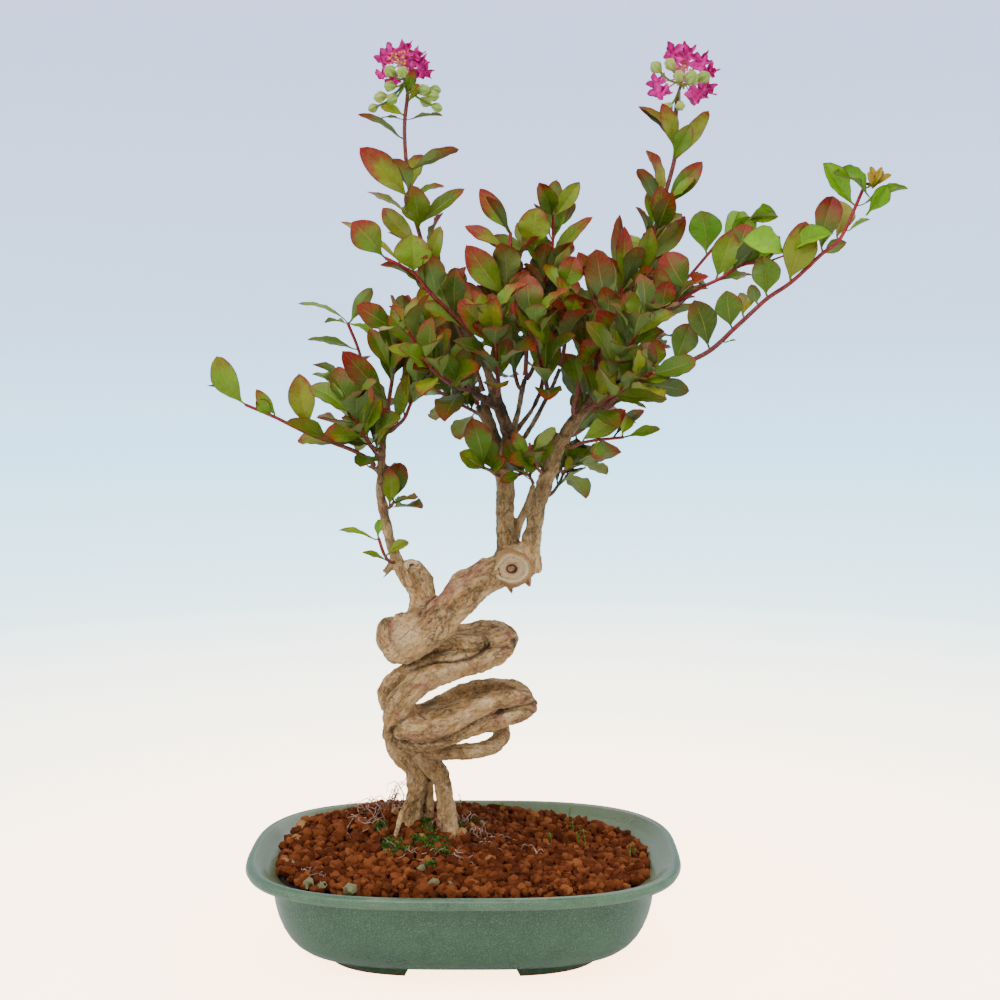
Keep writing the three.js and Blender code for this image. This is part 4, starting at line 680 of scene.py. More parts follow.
# Each strand through rows of x, y, z and radius in millimetres
STRANDS = {
    "right_leg": [
        [-12, 6, 57, 5.4], [-12, 7, 72, 5], [-12, 8, 85, 5], [-15, 8, 99, 5], [-21, 6, 111, 5.4],
        [-28, 2, 121, 6], [-36, -4, 130, 6.5],
    ],
    "left_leg": [
        [-35, 15, 59, 6.1], [-33, 16, 72, 5.5], [-31, 17, 88, 4.9], [-31, 16, 103, 4.9],
        [-29, 12, 115, 5.4], [-24, 6, 125, 4.8],
    ],
    "side_root": [
        [-32, 12, 90, 2.4], [-38, 4, 82, 1.9], [-41, -2, 73, 1.7], [-43, -5, 66, 1.5],
    ],
    "back_left": [
        [-32, 18, 104, 4.3], [-40, 22, 111, 5.5], [-45, 22, 121, 4.9], [-46, 18, 131, 4.9],
        [-43, 14, 140, 4.9],
    ],
    "lower_loop": [
        [-24, 0, 122, 4.8], [-11, -8, 123, 4.7], [3, -10, 124, 4.7], [15, -6, 125, 4.7],
        [22, 4, 128, 4.8], [22, 16, 131, 4.9], [14, 27, 133, 4.9], [0, 34, 134, 5], [-18, 35, 130, 5],
        [-32, 29, 128, 4.9], [-42, 20, 126, 4.9],
    ],
    "upper_ridge": [
        [-44, -2, 143, 6], [-38, -12, 139, 6.5], [-26, -22, 140, 5.8], [-11, -25, 143, 5.2],
        [4, -22, 150, 4.9], [19, -14, 155, 4.7], [32, -4, 155, 4.8], [38, 6, 152, 4.8],
    ],
    "lower_ridge": [
        [-39, -8, 132, 5.3], [-23, -16, 131, 5.3], [-8, -20, 136, 5.2], [7, -20, 141, 4.7],
        [22, -12, 144, 5], [33, -4, 146, 5.3], [38, 4, 147, 5.4],
    ],
    "top_strand": [
        [39, 8, 150, 4.8], [34, 18, 154, 4.6], [24, 27, 155, 4.9], [12, 32, 153, 5], [-2, 32, 150, 5],
        [-16, 28, 144, 4.9], [-28, 20, 141, 4.9], [-39, 10, 143, 5.4],
    ],
    "middle_strand": [
        [-24, -6, 145, 4.7], [-8, -8, 149, 4.1], [7, -4, 152, 4.2], [22, 4, 153, 4.2],
        [34, 8, 152, 4.2],
    ],
    "front_thick": [
        [-41, -6, 133, 6.5], [-41, -12, 145, 7.1], [-37, -16, 156, 7.6], [-29, -18, 165, 7.6],
        [-17, -16, 172, 7], [-3, -12, 175, 5.9], [10, -6, 178, 5.9], [22, 2, 182, 6], [26, 10, 186, 6],
    ],
    "back_thin": [
        [-48, 10, 145, 3.6], [-49, 6, 155, 4.2], [-45, 2, 163, 4.5], [-36, -4, 171, 4.5],
        [-23, -10, 177, 4.4], [-9, -12, 181, 4.4], [3, -8, 182, 4.1], [11, 0, 184, 4.2],
    ],
    "upper_loop": [
        [25, 8, 184, 6.6], [25, 18, 188, 7.3], [17, 26, 189, 8], [3, 30, 186, 8.7], [-13, 28, 184, 8],
        [-28, 20, 186, 7.3], [-39, 8, 191, 7.8],
    ],
    "upper_trunk": [
        [-40, 6, 196, 8.4], [-42, -4, 190, 8.9], [-38, -12, 186, 8.2], [-29, -18, 192, 9.3],
        [-18, -18, 201, 10.5], [-8, -15, 212, 10.5], [3, -10, 222, 10.6], [15, -5, 230, 10.1],
        [27, 0, 234, 9.5], [36, 1, 235, 8.4],
    ],
    "left_limb": [
        [-24, -10, 201, 7.7], [-24, -6, 216, 7.1], [-24, -5, 224, 6.5], [-28, -5, 232, 5.9],
        [-31, -7, 237, 5],
    ],
    "left_branch": [
        [-27, -5, 220, 4.7], [-36, -4, 231, 3.6], [-41, -2, 242, 3], [-45, 0, 253, 2.8],
        [-48, 1, 268, 2.7], [-50, 1, 280, 2.7], [-49, 1, 292, 2.4], [-49, 1, 302, 2.2],
        [-48, 2, 311, 1.8], [-46, 3, 320, 1.6],
    ],
    "left_stem": [
        [25, 2, 230, 8.4], [26, 4, 244, 6.6], [25, 5, 260, 5.4], [25, 6, 275, 5.4], [24, 7, 290, 5.4],
        [22, 8, 302, 4.8], [18, 8, 311, 3.9], [16, 9, 320, 3], [13, 12, 330, 2.4], [12, 14, 338, 1.8],
    ],
    "right_stem": [
        [39, 0, 232, 7.8], [40, -2, 245, 6], [42, -3, 258, 4.8], [45, -4, 273, 4.8],
        [49, -5, 288, 4.7], [53, -6, 300, 4.7], [58, -7, 310, 4.1], [66, -8, 324, 3.3],
        [74, -10, 332, 2.9], [79, -12, 340, 2.4], [84, -13, 347, 1.8],
    ],
    "middle_stem": [
        [29, 6, 245, 3.6], [33, 8, 259, 2.4], [37, 9, 268, 2.1], [40, 9, 276, 1.8], [42, 8, 284, 1.4],
    ],
    "twig_back_left": [
        [22, 8, 302, 3.6], [18, 14, 312, 2.7], [13, 20, 322, 2.4], [8, 26, 331, 1.8],
    ],
    "twig_tall": [
        [25, 4, 298, 4.2], [27, 2, 311, 3.6], [24, 0, 323, 3.6], [20, -2, 335, 3.3], [17, -4, 344, 3],
        [14, -5, 354, 2.4], [12, -5, 360, 1.9],
    ],
    "twig_mid": [
        [27, 5, 304, 2.4], [30, 8, 317, 2], [33, 10, 329, 1.8], [35, 12, 340, 1.7], [37, 12, 348, 1.5],
    ],
    "twig_left": [
        [22, -1, 328, 2.4], [14, -3, 335, 2.1], [4, -6, 341, 1.8], [-5, -8, 345, 1.5],
    ],
    "twig_right": [
        [25, 2, 300, 2.4], [34, -3, 310, 1.8], [41, -8, 321, 1.7], [48, -10, 334, 1.5],
        [53, -10, 344, 1.4], [57, -10, 354, 1.3],
    ],
    "twig_back": [
        [27, 6, 311, 2.4], [34, 20, 319, 1.8], [42, 32, 329, 1.6], [47, 40, 339, 1.4],
    ],
    "twig_back_right": [
        [53, -6, 300, 3], [58, 6, 307, 2.4], [66, 18, 316, 1.8], [74, 28, 327, 1.5],
    ],
}
# Stubs of dead twigs
SPURS = {
    "spur_one": [[-42, 0, 243, 1.6], [-46, 0, 235, 1.1], [-50, -6, 232, 0.5]],
    "spur_two": [[-41, -1, 238, 1.5], [-46, -3, 231, 1.0], [-50, -6, 228, 0.4]],
    "spur_left_twig": [[-48, 1, 292, 1.4], [-43, 1, 296, 1.0], [-39, -3, 299, 0.4]],
    "spur_right_twig": [[-50, 1, 292, 1.4], [-56, 1, 295, 1.0], [-61, -2, 298, 0.4]],
    "spur_low_one": [[27, -4, 228, 3.0], [28, -8, 223, 1.4], [29, -10, 220, 0.5]],
    "spur_low_two": [[37, -4, 230, 3.0], [39, -8, 226, 1.3], [40, -10, 224, 0.4]],
    "spur_low_three": [[14, -9, 224, 2.5], [13, -13, 219, 1.1], [12, -15, 217, 0.4]],
}
# Wood that has grown over between strands that touch
WELDS = {
    "upper_lobe": [[2, 8, 184, 5.5], [12, 5, 185, 7.8], [21, 6, 187, 9], [27, 12, 188, 8.4]],
    "upper_lobe_back": [[16, 16, 187, 8], [4, 20, 185, 8], [-12, 18, 183, 7]],
    "under_trunk": [[10, 0, 187, 6], [0, -3, 187.5, 7.5], [-12, -4, 188, 8.5],
                    [-26, 0, 190, 9]],
    "shoulder": [[-38, -4, 199, 9], [-32, -12, 197, 11.5], [-22, -14, 203, 11]],
    "left_knob": [[-42, 2, 200, 8.5], [-43, -4, 193, 9.5], [-37, -10, 185, 9.5]],
    "shoulder_knob": [[-10, -11, 213, 6], [-4, -10, 221, 7.4], [3, -8, 229, 7], [8, -6, 232, 4]],
    "fork": [[22, 2, 234, 8], [30, 2, 240, 9], [38, 0, 240, 8]],
    "front_bend": [[-40, -8, 137, 7.8], [-36, -12, 141, 8.4], [-26, -18, 138, 7.4]],
    "coil_front": [[-30, -18, 136, 6.2], [-14, -21, 137, 6], [2, -20, 143, 5.8],
                   [18, -12, 148, 5.8]],
    "coil_end": [[24, -8, 148, 5.4], [33, -1, 150, 7], [38, 6, 149, 6.8], [34, 12, 150, 5]],
    "coil_inside": [[-30, -8, 140, 5.4], [-14, -12, 145, 5.2], [4, -10, 149, 5.2],
                    [20, -2, 151, 5]],
    "right_leg_bark": [[-10, 6, 60, 6], [-9.5, 7, 72, 5], [-11, 8, 86, 4.8], [-14, 7, 100, 5],
                       [-19, 5, 112, 5.6], [-26, 1, 121, 6.4]],
    "left_leg_bark": [[-37, 14, 60, 6.2], [-33.5, 14, 74, 5.2], [-31, 15, 88, 5],
                      [-28, 12, 102, 5.2], [-30, 9, 116, 5.8]],
    "middle_root": [[-23, 17, 66, 3], [-22, 16, 78, 2.3], [-22, 16, 92, 2.2],
                    [-24, 13, 106, 2.6]],
    "collar": [[-42, 4, 128, 6.5], [-34, 2, 126, 8], [-24, 2, 124, 7.5], [-18, 4, 118, 5.5]],
    "limb_foot": [[-26, -12, 202, 9], [-24, -8, 212, 8.4], [-26, -6, 222, 7.6],
                  [-30, -6, 232, 6.6]],
}
WOOD = {**STRANDS, **WELDS, **SPURS}


def strand(name, rows, sides=2):
    """A round strand through rows of x, y, z and radius in millimetres, closed at its ends."""
    deselect_all()
    bpy.ops.curve.primitive_bezier_curve_add(location=(0, 0, 0))
    made = bpy.context.object
    made.name = name
    line = made.data.splines[0]
    line.bezier_points.add(len(rows) - 2)
    for point, (x, y, z, radius) in zip(line.bezier_points, rows):
        point.co = at(x, y, z)
        point.radius = radius
        point.handle_left_type = point.handle_right_type = "AUTO"
    made.data.bevel_depth = MM
    made.data.bevel_resolution = sides
    made.data.resolution_u = 8
    made.data.use_fill_caps = True
    bpy.ops.object.convert(target="MESH")
    return bpy.context.object


def join(pieces, name):
    """Joins objects into the first of them."""
    deselect_all()
    for piece in pieces:
        piece.select_set(True)
    bpy.context.view_layer.objects.active = pieces[0]
    bpy.ops.object.join()
    pieces[0].name = name
    return pieces[0]


def smooth_line(rows, step):
    """Rows in between, evenly spaced along a smooth line through the given rows."""
    rows = np.array(rows, float)
    ends = np.concatenate([[2 * rows[0] - rows[1]], rows, [2 * rows[-1] - rows[-2]]])
    made = []
    for a, b, c, d in zip(ends, ends[1:], ends[2:], ends[3:]):
        count = max(2, int(np.linalg.norm(c[:3] - b[:3]) / step))
        for k in range(count):
            t = k / count
            made.append(0.5 * (2 * b + (c - a) * t + (2 * a - 5 * b + 4 * c - d) * t * t
                               + (3 * b - a - 3 * c + d) * t ** 3))
    return np.array(made + [rows[-1]])


def line_frames(line):
    """The directions along, beside and above a line of points, with no twist."""
    ways = np.gradient(line[:, :3], axis=0)
    ways /= np.linalg.norm(ways, axis=1)[:, None]
    side = np.cross(ways[0], (0.3, 0.9, 0.2))
    sides = []
    for way in ways:
        side = side - way * np.dot(side, way)
        side /= np.linalg.norm(side)
        sides.append(side)
    return ways, np.array(sides), np.cross(ways, sides)


wood_lines = {}
for name, rows in WOOD.items():
    line = smooth_line(rows, LINE_STEP)
    ways, sides, tops = line_frames(line)
    run = np.concatenate([[0], np.cumsum(np.linalg.norm(np.diff(line[:, :3], axis=0), axis=1))])
    wood_lines[name] = (line, ways, sides, tops, run)
wood_tree = KDTree(sum(len(line) for line, *_ in wood_lines.values()))
wood_keys = []
for name, (line, *_) in wood_lines.items():
    for index, spot in enumerate(line):
        wood_tree.insert(spot[:3], len(wood_keys))
        wood_keys.append((name, index))
wood_tree.balance()


def wood_near(spot, count=48):
    """The strands round a place, nearest skin first: distance to the skin, name and index."""
    found = {}
    for _, key, distance in wood_tree.find_n(spot, count):
        name, index = wood_keys[key]
        gap = distance - wood_lines[name][0][index][3]
        if name not in found or gap < found[name][0]:
            found[name] = (gap, index)
    return sorted((gap, name, index) for name, (gap, index) in found.items())


thick, thin = [], []
for name, rows in WOOD.items():
    more = THICKER if max(row[3] for row in rows) >= REMESH_FROM else THIN_MORE
    made = strand(name, [(x, y, z, r + more) for x, y, z, r in rows], 4)
    (thick if more == THICKER else thin).append(made)
trunk = join(thick + thin, "coiled_trunk")
remesh = trunk.modifiers.new("grow_together", "REMESH")
remesh.mode = "VOXEL"
remesh.voxel_size = MM * TRUNK_VOXEL
remesh.adaptivity = 0
bpy.ops.object.modifier_apply(modifier=remesh.name)
soften = trunk.modifiers.new("soften", "SMOOTH")
soften.factor = 0.5
soften.iterations = SOFTENED
bpy.ops.object.modifier_apply(modifier=soften.name)

# Lumps on the bark as x, y, z, their reach and their rise
KNOTS = [(-4.8, -18, 196.6, 3.4, 1.2), (4, -12, 196, 5, 1.6), (-26, -20, 176, 6, 1.0),
         (31, 2, 184, 7, 1.4), (-36, -17, 150, 8, 1.0), (39, 4, 150, 6, 1.0),
         (-28, -10, 214, 6, 1.1), (41, -6, 238, 4, 2.0), (38, -8, 229, 4, 1.6),
         (20, -12, 240, 4, 1.4), (22, -11, 226, 4, 1.2), (12, -6, 240, 4, 1.6),
         (-34, -8, 225, 4, 1.2), (-31, 14, 84, 5, 0.9), (20, -12, 128, 5, 0.8)]
# Where the bark is rubbed pink or orange, as x, y, z and reach
FLUSHED = [(9, -10, 240, 8), (1, -13, 232, 9), (-7, -15, 223, 9), (-15, -18, 214, 8),
           (-20, -20, 206, 7), (-38, -12, 200, 10), (-42, -6, 190, 9), (28, 0, 195, 4.5),
           (25, -4, 185, 4.5), (40, 2, 150, 7), (20, -18, 146, 7), (-12, -24, 141, 8),
           (-30, -22, 134, 8), (-22, -22, 168, 7)]
FOLD_ROUNDS = 14
FOLD_DEPTH = 0.7
# Strands of the coil: where two of them meet, a seam stays open, this wide and this deep
COIL_STRANDS = ("back_left", "lower_loop", "upper_ridge", "lower_ridge", "top_strand",
                "middle_strand", "front_thick", "back_thin", "upper_loop", "upper_trunk")
SEAM_WIDE, SEAM_DEEP = 1.0, 1.8
FLUTE_RISE, LUMP_RISE, PIT_RISE = 0.3, 1.0, 0.34
mesh = trunk.data
count = len(mesh.vertices)
edges = np.empty(2 * len(mesh.edges), int)
mesh.edges.foreach_get("vertices", edges)
edges = edges.reshape(-1, 2)
degree = np.bincount(edges.ravel(), minlength=count)[:, None]


def relaxed(values, rounds):
    """Values at the corners, averaged again and again with those of their neighbours."""
    for _ in range(rounds):
        total = np.zeros_like(values)
        np.add.at(total, edges[:, 0], values[edges[:, 1]])
        np.add.at(total, edges[:, 1], values[edges[:, 0]])
        values = 0.5 * values + 0.5 * total / degree
    return values


spots = np.array([v.co for v in mesh.vertices])
normals = np.array([v.normal for v in mesh.vertices])
sunk = ((relaxed(spots, FOLD_ROUNDS) - spots) * normals).sum(axis=1) / MM
grain = np.zeros((count, 3))
flushed = np.zeros(count)
seam = np.zeros(count)
moved = np.zeros((count, 3))
for corner in mesh.vertices:
    spot = Vector(local(corner.co))
    near = wood_near(spot, 40)
    _, name, index = near[0]
    apart = [row[0] for row in near if row[1] in COIL_STRANDS]
    if len(apart) > 1 and apart[0] > -2 and apart[1] < 3.5:
        seam[corner.index] = math.exp(-((apart[1] - apart[0]) / SEAM_WIDE) ** 2)
    line, ways, sides, tops, run = wood_lines[name]
    off = np.array(spot) - line[index, :3]
    along = run[index] + float(off @ ways[index])
    grain[corner.index] = (along, off @ sides[index], off @ tops[index])
    g = Vector(grain[corner.index])
    radius = float(line[index, 3])
    flutes = noise.fractal(Vector((g.x / 18, g.y / 3.4, g.z / 3.4)), 0.8, 2.0, 3)
    lumps = noise.fractal(spot / 8.5, 0.9, 2.0, 3)
    pits = noise.fractal(spot / 2.6, 0.8, 2.0, 2)
    push = min(1, radius / 5) * (FLUTE_RISE * flutes + LUMP_RISE * lumps + PIT_RISE * pits)
    for x, y, z, wide, high in KNOTS:
        far = (spot - Vector((x, y, z))).length / wide
        if far < 2:
            push += high * math.exp(-3 * far * far)
    push -= SEAM_DEEP * float(seam[corner.index])
    flushed[corner.index] = sum(math.exp(-((spot - Vector((x, y, z))).length / wide) ** 2)
                                for x, y, z, wide in FLUSHED)
    moved[corner.index] = corner.co + MM * push * corner.normal
mesh.vertices.foreach_set("co", moved.ravel())
# Corners sunk in folds between the strands, and the open seams, get a share of painted shade.
folds = relaxed(sunk[:, None], 1)[:, 0] / FOLD_DEPTH
folds = np.clip(np.maximum(folds, 0.85 * relaxed(seam[:, None], 1)[:, 0]), 0, 1)
mesh.attributes.new("grain", "FLOAT_VECTOR", "POINT").data.foreach_set("vector", grain.ravel())
mesh.attributes.new("folds", "FLOAT", "POINT").data.foreach_set("value", folds)
mesh.attributes.new("flushed", "FLOAT", "POINT").data.foreach_set("value", flushed.clip(0, 1))
mesh.update()
bpy.ops.object.shade_smooth()

SCAR_SIDES = 44
# Where limbs were cut off: middle, half width, half height, facing, and rows from the rim inwards
SCARS = {
    "pruning_callus": ((29.0, -10.6, 235.2), 11.4, 9.6, (0.08, -1, 0.12),
                       [(1.12, -3), (1.0, 0.4), (0.93, 1.6), (0.84, 2.1), (0.75, 1.6), (0.7, 0.9),
                        (0.63, 1.5), (0.55, 1.6), (0.47, 0.8), (0.4, 0.3), (0.33, 0.6),
                        (0.27, 0.1), (0.22, -1.4), (0.17, -3.0), (0.06, -3.6)]),
    "stump_cut": ((-30.5, -8.0, 236.5), 5.6, 4.2, (-0.25, -0.85, 0.55),
                  [(1.15, -2.5), (1.05, 0.3), (0.95, 1.1), (0.85, 0.9), (0.6, 0.7), (0.4, 0.6),
                   (0.3, -0.2), (0.2, -1.6), (0.05, -2.0)]),
    "stump_knot": ((38.5, -7.0, 232.0), 3.6, 3.2, (0.5, -0.8, -0.1),
                   [(1.15, -2), (1.0, 0.5), (0.85, 1.2), (0.65, 1.0), (0.4, 0.2), (0.1, -1.0)]),
}


def scar(name, middle, wide, high, facing, rows):
    """A healed ring of wood: a rim raised and stepped inwards to a hollow."""
    deselect_all()
    bpy.ops.mesh.primitive_circle_add(vertices=SCAR_SIDES, radius=MM, location=(0, 0, 0),
                                      fill_type="NOTHING")
    ring = bpy.context.object
    ring.name = name
    bpy.ops.object.mode_set(mode="EDIT")
    bpy.ops.mesh.select_mode(type="EDGE")
    bpy.ops.mesh.select_all(action="SELECT")
    bpy.ops.transform.resize(value=(rows[0][0],) * 2 + (1,), center_override=(0, 0, 0))
    bpy.ops.transform.translate(value=(0, 0, MM * rows[0][1]))
    for (a, z), (b, higher) in zip(rows, rows[1:]):
        bpy.ops.mesh.extrude_edges_move(
            TRANSFORM_OT_translate={"value": (0, 0, MM * (higher - z))})
        bpy.ops.transform.resize(value=(b / a, b / a, 1), center_override=(0, 0, 0))
    bpy.ops.mesh.edge_face_add()
    bpy.ops.mesh.select_all(action="SELECT")
    bpy.ops.mesh.subdivide(number_cuts=1, smoothness=0.6)
    bpy.ops.mesh.normals_make_consistent(inside=False)
    bpy.ops.object.mode_set(mode="OBJECT")
    ring.data.attributes.new("ring", "FLOAT", "POINT")
    turn = Vector(facing).to_track_quat("Z", "Y").to_matrix()
    for corner in ring.data.vertices:
        x, y, z = corner.co / MM
        out = math.hypot(x, y)
        ring.data.attributes["ring"].data[corner.index].value = out
        round_it = Vector((x, y, wide))
        sway = 0.16 * noise.noise(round_it * 1.3) + 0.06 * noise.noise(round_it * 4)
        lift = 0.5 * noise.noise(Vector((x * 5, y * 5, 3)))
        spot = Vector((x * wide * (1 + sway), y * high * (1 + sway), z + lift))
        corner.co = at(*(Vector(middle) + turn @ spot))
    bpy.ops.object.shade_smooth()
    return ring


scars = [scar(name, *values) for name, values in SCARS.items()]

bark, tree, shader = finish_of("tan_bark", 0.82)
place = object_place(tree)
grain_at = node(tree, "Attribute", attribute_name="grain").outputs["Vector"]
streaky = node(tree, "Mapping", {"Vector": grain_at, "Scale": (0.05, 0.22, 0.22)}).outputs[0]
cracked = node(tree, "Mapping", {"Vector": grain_at, "Scale": (0.3, 0.8, 0.8)}).outputs[0]
crease_shade = stored(tree, "folds")
rubbed = stored(tree, "flushed")
facing = node(tree, "SeparateXYZ", {"Vector": node(tree, "NewGeometry").outputs["Normal"]})
upward = spread(tree, facing.outputs["Z"], -0.45, 0.75)
streaks = specks(tree, streaky, 1.0, 1.0)
cracks = specks(tree, cracked, 1.0, 0.7)
fine = specks(tree, place, 620.0, 130.0)
broad = specks(tree, place, 75.0, 58.0)
base = ramp(tree, streaks["Mottle"], (0.1, "9c6a2e"), (0.5, "daa460"), (0.85, "f8cc90"))
base = over(tree, base, "84592c", spread(tree, broad["Mottle"], 0.55, 0.9, 0.0, 0.5))
base = over(tree, base, "f8d2a0", spread(tree, broad["Mottle"], 0.4, 0.1, 0.0, 0.5))
base = over(tree, base, "9c6c34", fine["Mottle"], 0.3)
lichen = times(tree, broad["Mottle"], spread(tree, upward, 0.0, 1.0, 0.1, 0.6))
base = over(tree, base, "746838", lichen, 0.85)
patchy = spread(tree, plus(tree, broad["Light Specks"], rubbed), 0.25, 1.1)
patchy = times(tree, patchy, spread(tree, fine["Mottle"], 0.2, 0.8, 0.35, 1.0))
base = over(tree, base, "94443a", patchy, 0.9)
skin = node(tree, "Mapping", {"Vector": grain_at, "Scale": (0.06, 0.1, 0.1)}).outputs[0]


def bark_noise(vector, scale):
    """A rough noise for the edges of flakes and cracks in the bark."""
    return node(tree, "TexNoise", {"Vector": vector, "Scale": scale, "Detail": 6.0,
                                   "Roughness": 0.62}).outputs["Fac"]


flakes = spread(tree, bark_noise(skin, 1.3), 0.5, 0.56)
base = over(tree, base, "f0c484", flakes, 0.4)
stains = spread(tree, bark_noise(skin, 2.3), 0.56, 0.63)
stains = times(tree, stains, spread(tree, upward, 0.0, 1.0, 0.4, 0.85))
base = over(tree, base, "7e5a30", stains, 0.55)
seams = maths(tree, "ABSOLUTE", maths(tree, "SUBTRACT", bark_noise(skin, 1.9), 0.5))
seams = times(tree, spread(tree, seams, 0.02, 0.004),
              spread(tree, broad["Mottle"], 0.35, 0.65))
base = over(tree, base, "3c2412", seams, 0.7)
# The bark is painted paler on its downward-facing sides.
paler_below = spread(tree, upward, 0.35, 0.0, 0.0, 0.4)
base = over(tree, base, "e0b076", paler_below)
base = over(tree, base, "dfc091", fine["Light Specks"], 0.22)
base = over(tree, base, "5a3a1c", cracks["Dark Specks"], 0.45)
base = over(tree, base, "66452a", fine["Dark Specks"], 0.5)
# Painted shade: darker in the folds and seams between the strands.
deep = spread(tree, crease_shade, 0.2, 0.8, 0.0, 0.88)
base = over(tree, base, "2e1808", deep)
height = node(tree, "SeparateXYZ", {"Vector": place}).outputs["Z"]
height = plus(tree, height, spread(tree, broad["Mottle"], 0.0, 1.0, -0.03, 0.03))
base = over(tree, base, "5e4c26", spread(tree, height, 0.235, 0.29, 0.0, 0.55))
base = over(tree, base, "3c1c0e", spread(tree, height, 0.31, 0.345, 0.0, 0.85))
give(tree, shader, Base_Color=base)
relief = plus(tree, cracks["Mottle"], times(tree, fine["Mottle"], 0.8))
relief = plus(tree, times(tree, streaks["Mottle"], 0.4), relief)
relief = plus(tree, relief, maths(tree, "SUBTRACT", flakes, seams))
emboss(tree, shader, relief, 1.0, 1.0)

healed, tree, shader = finish_of("callus_wood", 0.75)
place = object_place(tree)
ring = stored(tree, "ring")
grime = specks(tree, place, 900.0, 260.0)
rings = maths(tree, "SINE", times(tree, ring, 46.0))
shade = ramp(tree, ring, (0.1, "1c0502"), (0.25, "300a04"), (0.33, "7c3818"), (0.38, "e2c596"),
             (0.55, "bd935a"), (0.7, "e6cd9e"), (0.88, "b58a54"), (1.0, "a07644"))
shade = over(tree, shade, "8a6544", spread(tree, rings, 0.2, 1.0, 0.0, 0.35))
shade = over(tree, shade, "6a4a33", grime["Dark Specks"], 0.6)
give(tree, shader, Base_Color=shade)
emboss(tree, shader, grime["Mottle"], 0.6, 0.4)
rest_on(trunk, bark)
for ring in scars:
    rest_on(ring, healed)
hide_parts("trunk")


# Roots, moss and seedlings
# What grows on the soil: fine dry rootlets that have come up in tangles round the legs, cushions
# of green moss in front of them, and a few seedlings a few millimetres high, all rooted between
# the granules.
ROOTLET_STEPS = 8
TUFT_LEAVES = 5
TUFT_KINDS = 6
TUFTS_PER_AREA = 0.5
# Each tangle as x, y, half its spread, count, length and how far its rootlets arch up
TANGLES = [(-54, 24, 15, 26, 24, 6), (-44, 30, 10, 14, 20, 13), (-36, -18, 9, 14, 15, 2),
           (3, 19, 8, 12, 18, 3), (10, 6, 9, 12, 20, 2), (4, -18, 8, 9, 22, 1.5),
           (-90, -46, 8, 7, 16, 2), (-8, 8, 8, 9, 12, 9), (44, -4, 5, 3, 12, 4)]
# Each cushion as x, y and its radius
CUSHIONS = [(-18, -10, 9), (-23, 1, 6), (-43, -12, 7), (-36, -17, 5), (-1, 14, 6), (-13, -17, 6),
            (-42, -22, 4), (-20, -34, 3.5), (-27, -8, 6), (-52, 6, 5), (8, 28, 5), (-23, 12, 5)]
# Each seedling as x, y and its height
SEEDLINGS = [(66, 58, 9), (68, 34, 8), (75, 13, 11), (101, -4, 8), (54, 20, 5), (24, 58, 6),
             (71, 22, 6), (104, -2, 5), (-4, 44, 10)]


def wander(draw, x, y, length, arch):
    """Rows of a rootlet that strays over the granules and arches up from them."""
    heading = draw.uniform(0, 2 * math.pi)
    bend = draw.gauss(0, 0.35)
    rows = []
    for step in range(ROOTLET_STEPS):
        share = step / (ROOTLET_STEPS - 1)
        lift = 2.5 + arch * math.sin(math.pi * min(1, share * 0.8)) + draw.gauss(0, 0.6)
        rows.append((x, y, soil_height(x, y) + lift, 0.36 - 0.2 * share))
        heading += bend + draw.gauss(0, 0.4)
        x += length / ROOTLET_STEPS * math.cos(heading)
        y += length / ROOTLET_STEPS * math.sin(heading)
    return rows


draw = random.Random(29)
rootlets = []
for x, y, spread_out, count, length, arch in TANGLES:
    for _ in range(count):
        across, away = draw.gauss(0, 0.5 * spread_out), draw.gauss(0, 0.5 * spread_out)
        long = length * draw.uniform(0.6, 1.3)
        rows = wander(draw, x + across, y + away, long, arch * draw.uniform(0, 1.6))
        rootlets.append(strand("rootlet", rows, 0))
rootlets = join(rootlets, "dry_rootlets")
dry, tree, shader = finish_of("dry_root", 0.85)
place = object_place(tree)
dust = specks(tree, place, 900.0, 160.0)
shade = ramp(tree, dust["Mottle"], (0.15, "5e4230"), (0.5, "967460"), (0.85, "c4a690"))
give(tree, shader, Base_Color=shade)
rest_on(rootlets, dry)


def tuft(draw):
    """One tuft of moss: a few pointed leaflets spread from one foot, about 1 high."""
    corners, faces = [], []
    for leaflet in range(TUFT_LEAVES):
        turn = 2 * math.pi * (leaflet + draw.uniform(0, 0.6)) / TUFT_LEAVES
        out = np.array([math.cos(turn), math.sin(turn), 0])
        side = np.array([-out[1], out[0], 0])
        lean = draw.uniform(0.35, 0.9)
        tip = out * lean + [0, 0, draw.uniform(0.6, 1)]
        middle = tip * 0.55 + out * 0.12
        first = len(corners)
        corners += [out * 0.02, middle - side * 0.17, tip, middle + side * 0.17]
        leaflet_face = [first, first + 1, first + 2, first + 3]
        faces += [leaflet_face, leaflet_face[::-1]]
    return np.array(corners), faces


tufts = [tuft(draw) for _ in range(TUFT_KINDS)]
moss = []
for x, y, radius in CUSHIONS:
    for _ in range(int(TUFTS_PER_AREA * math.pi * radius ** 2)):
        off, turn = radius * math.sqrt(draw.random()), draw.uniform(0, 2 * math.pi)
        a, b = x + off * math.cos(turn), y + off * math.sin(turn)
        shape, faces = draw.choice(tufts)
        rise = soil_height(a, b) + 2 + 1.6 * (1 - (off / radius) ** 2)
        size = draw.uniform(1.6, 3.2)
        moss.append((shape * size * MM + np.array(at(a, b, rise)), faces, draw.random()))
moss = mesh_of("moss_cushions", moss, ["tint"])
green, tree, shader = finish_of("moss_green", 0.8)
tint = stored(tree, "tint")
place = object_place(tree)
dust = specks(tree, place, 900.0, 90.0)
shade = ramp(tree, tint, (0.0, "1c3404"), (0.5, "3a5e04"), (0.85, "5c8c08"), (1.0, "868c20"))
shade = over(tree, shade, "2a3a0c", dust["Mottle"], 0.4)
give(tree, shader, Base_Color=shade)
rest_on(moss, green)

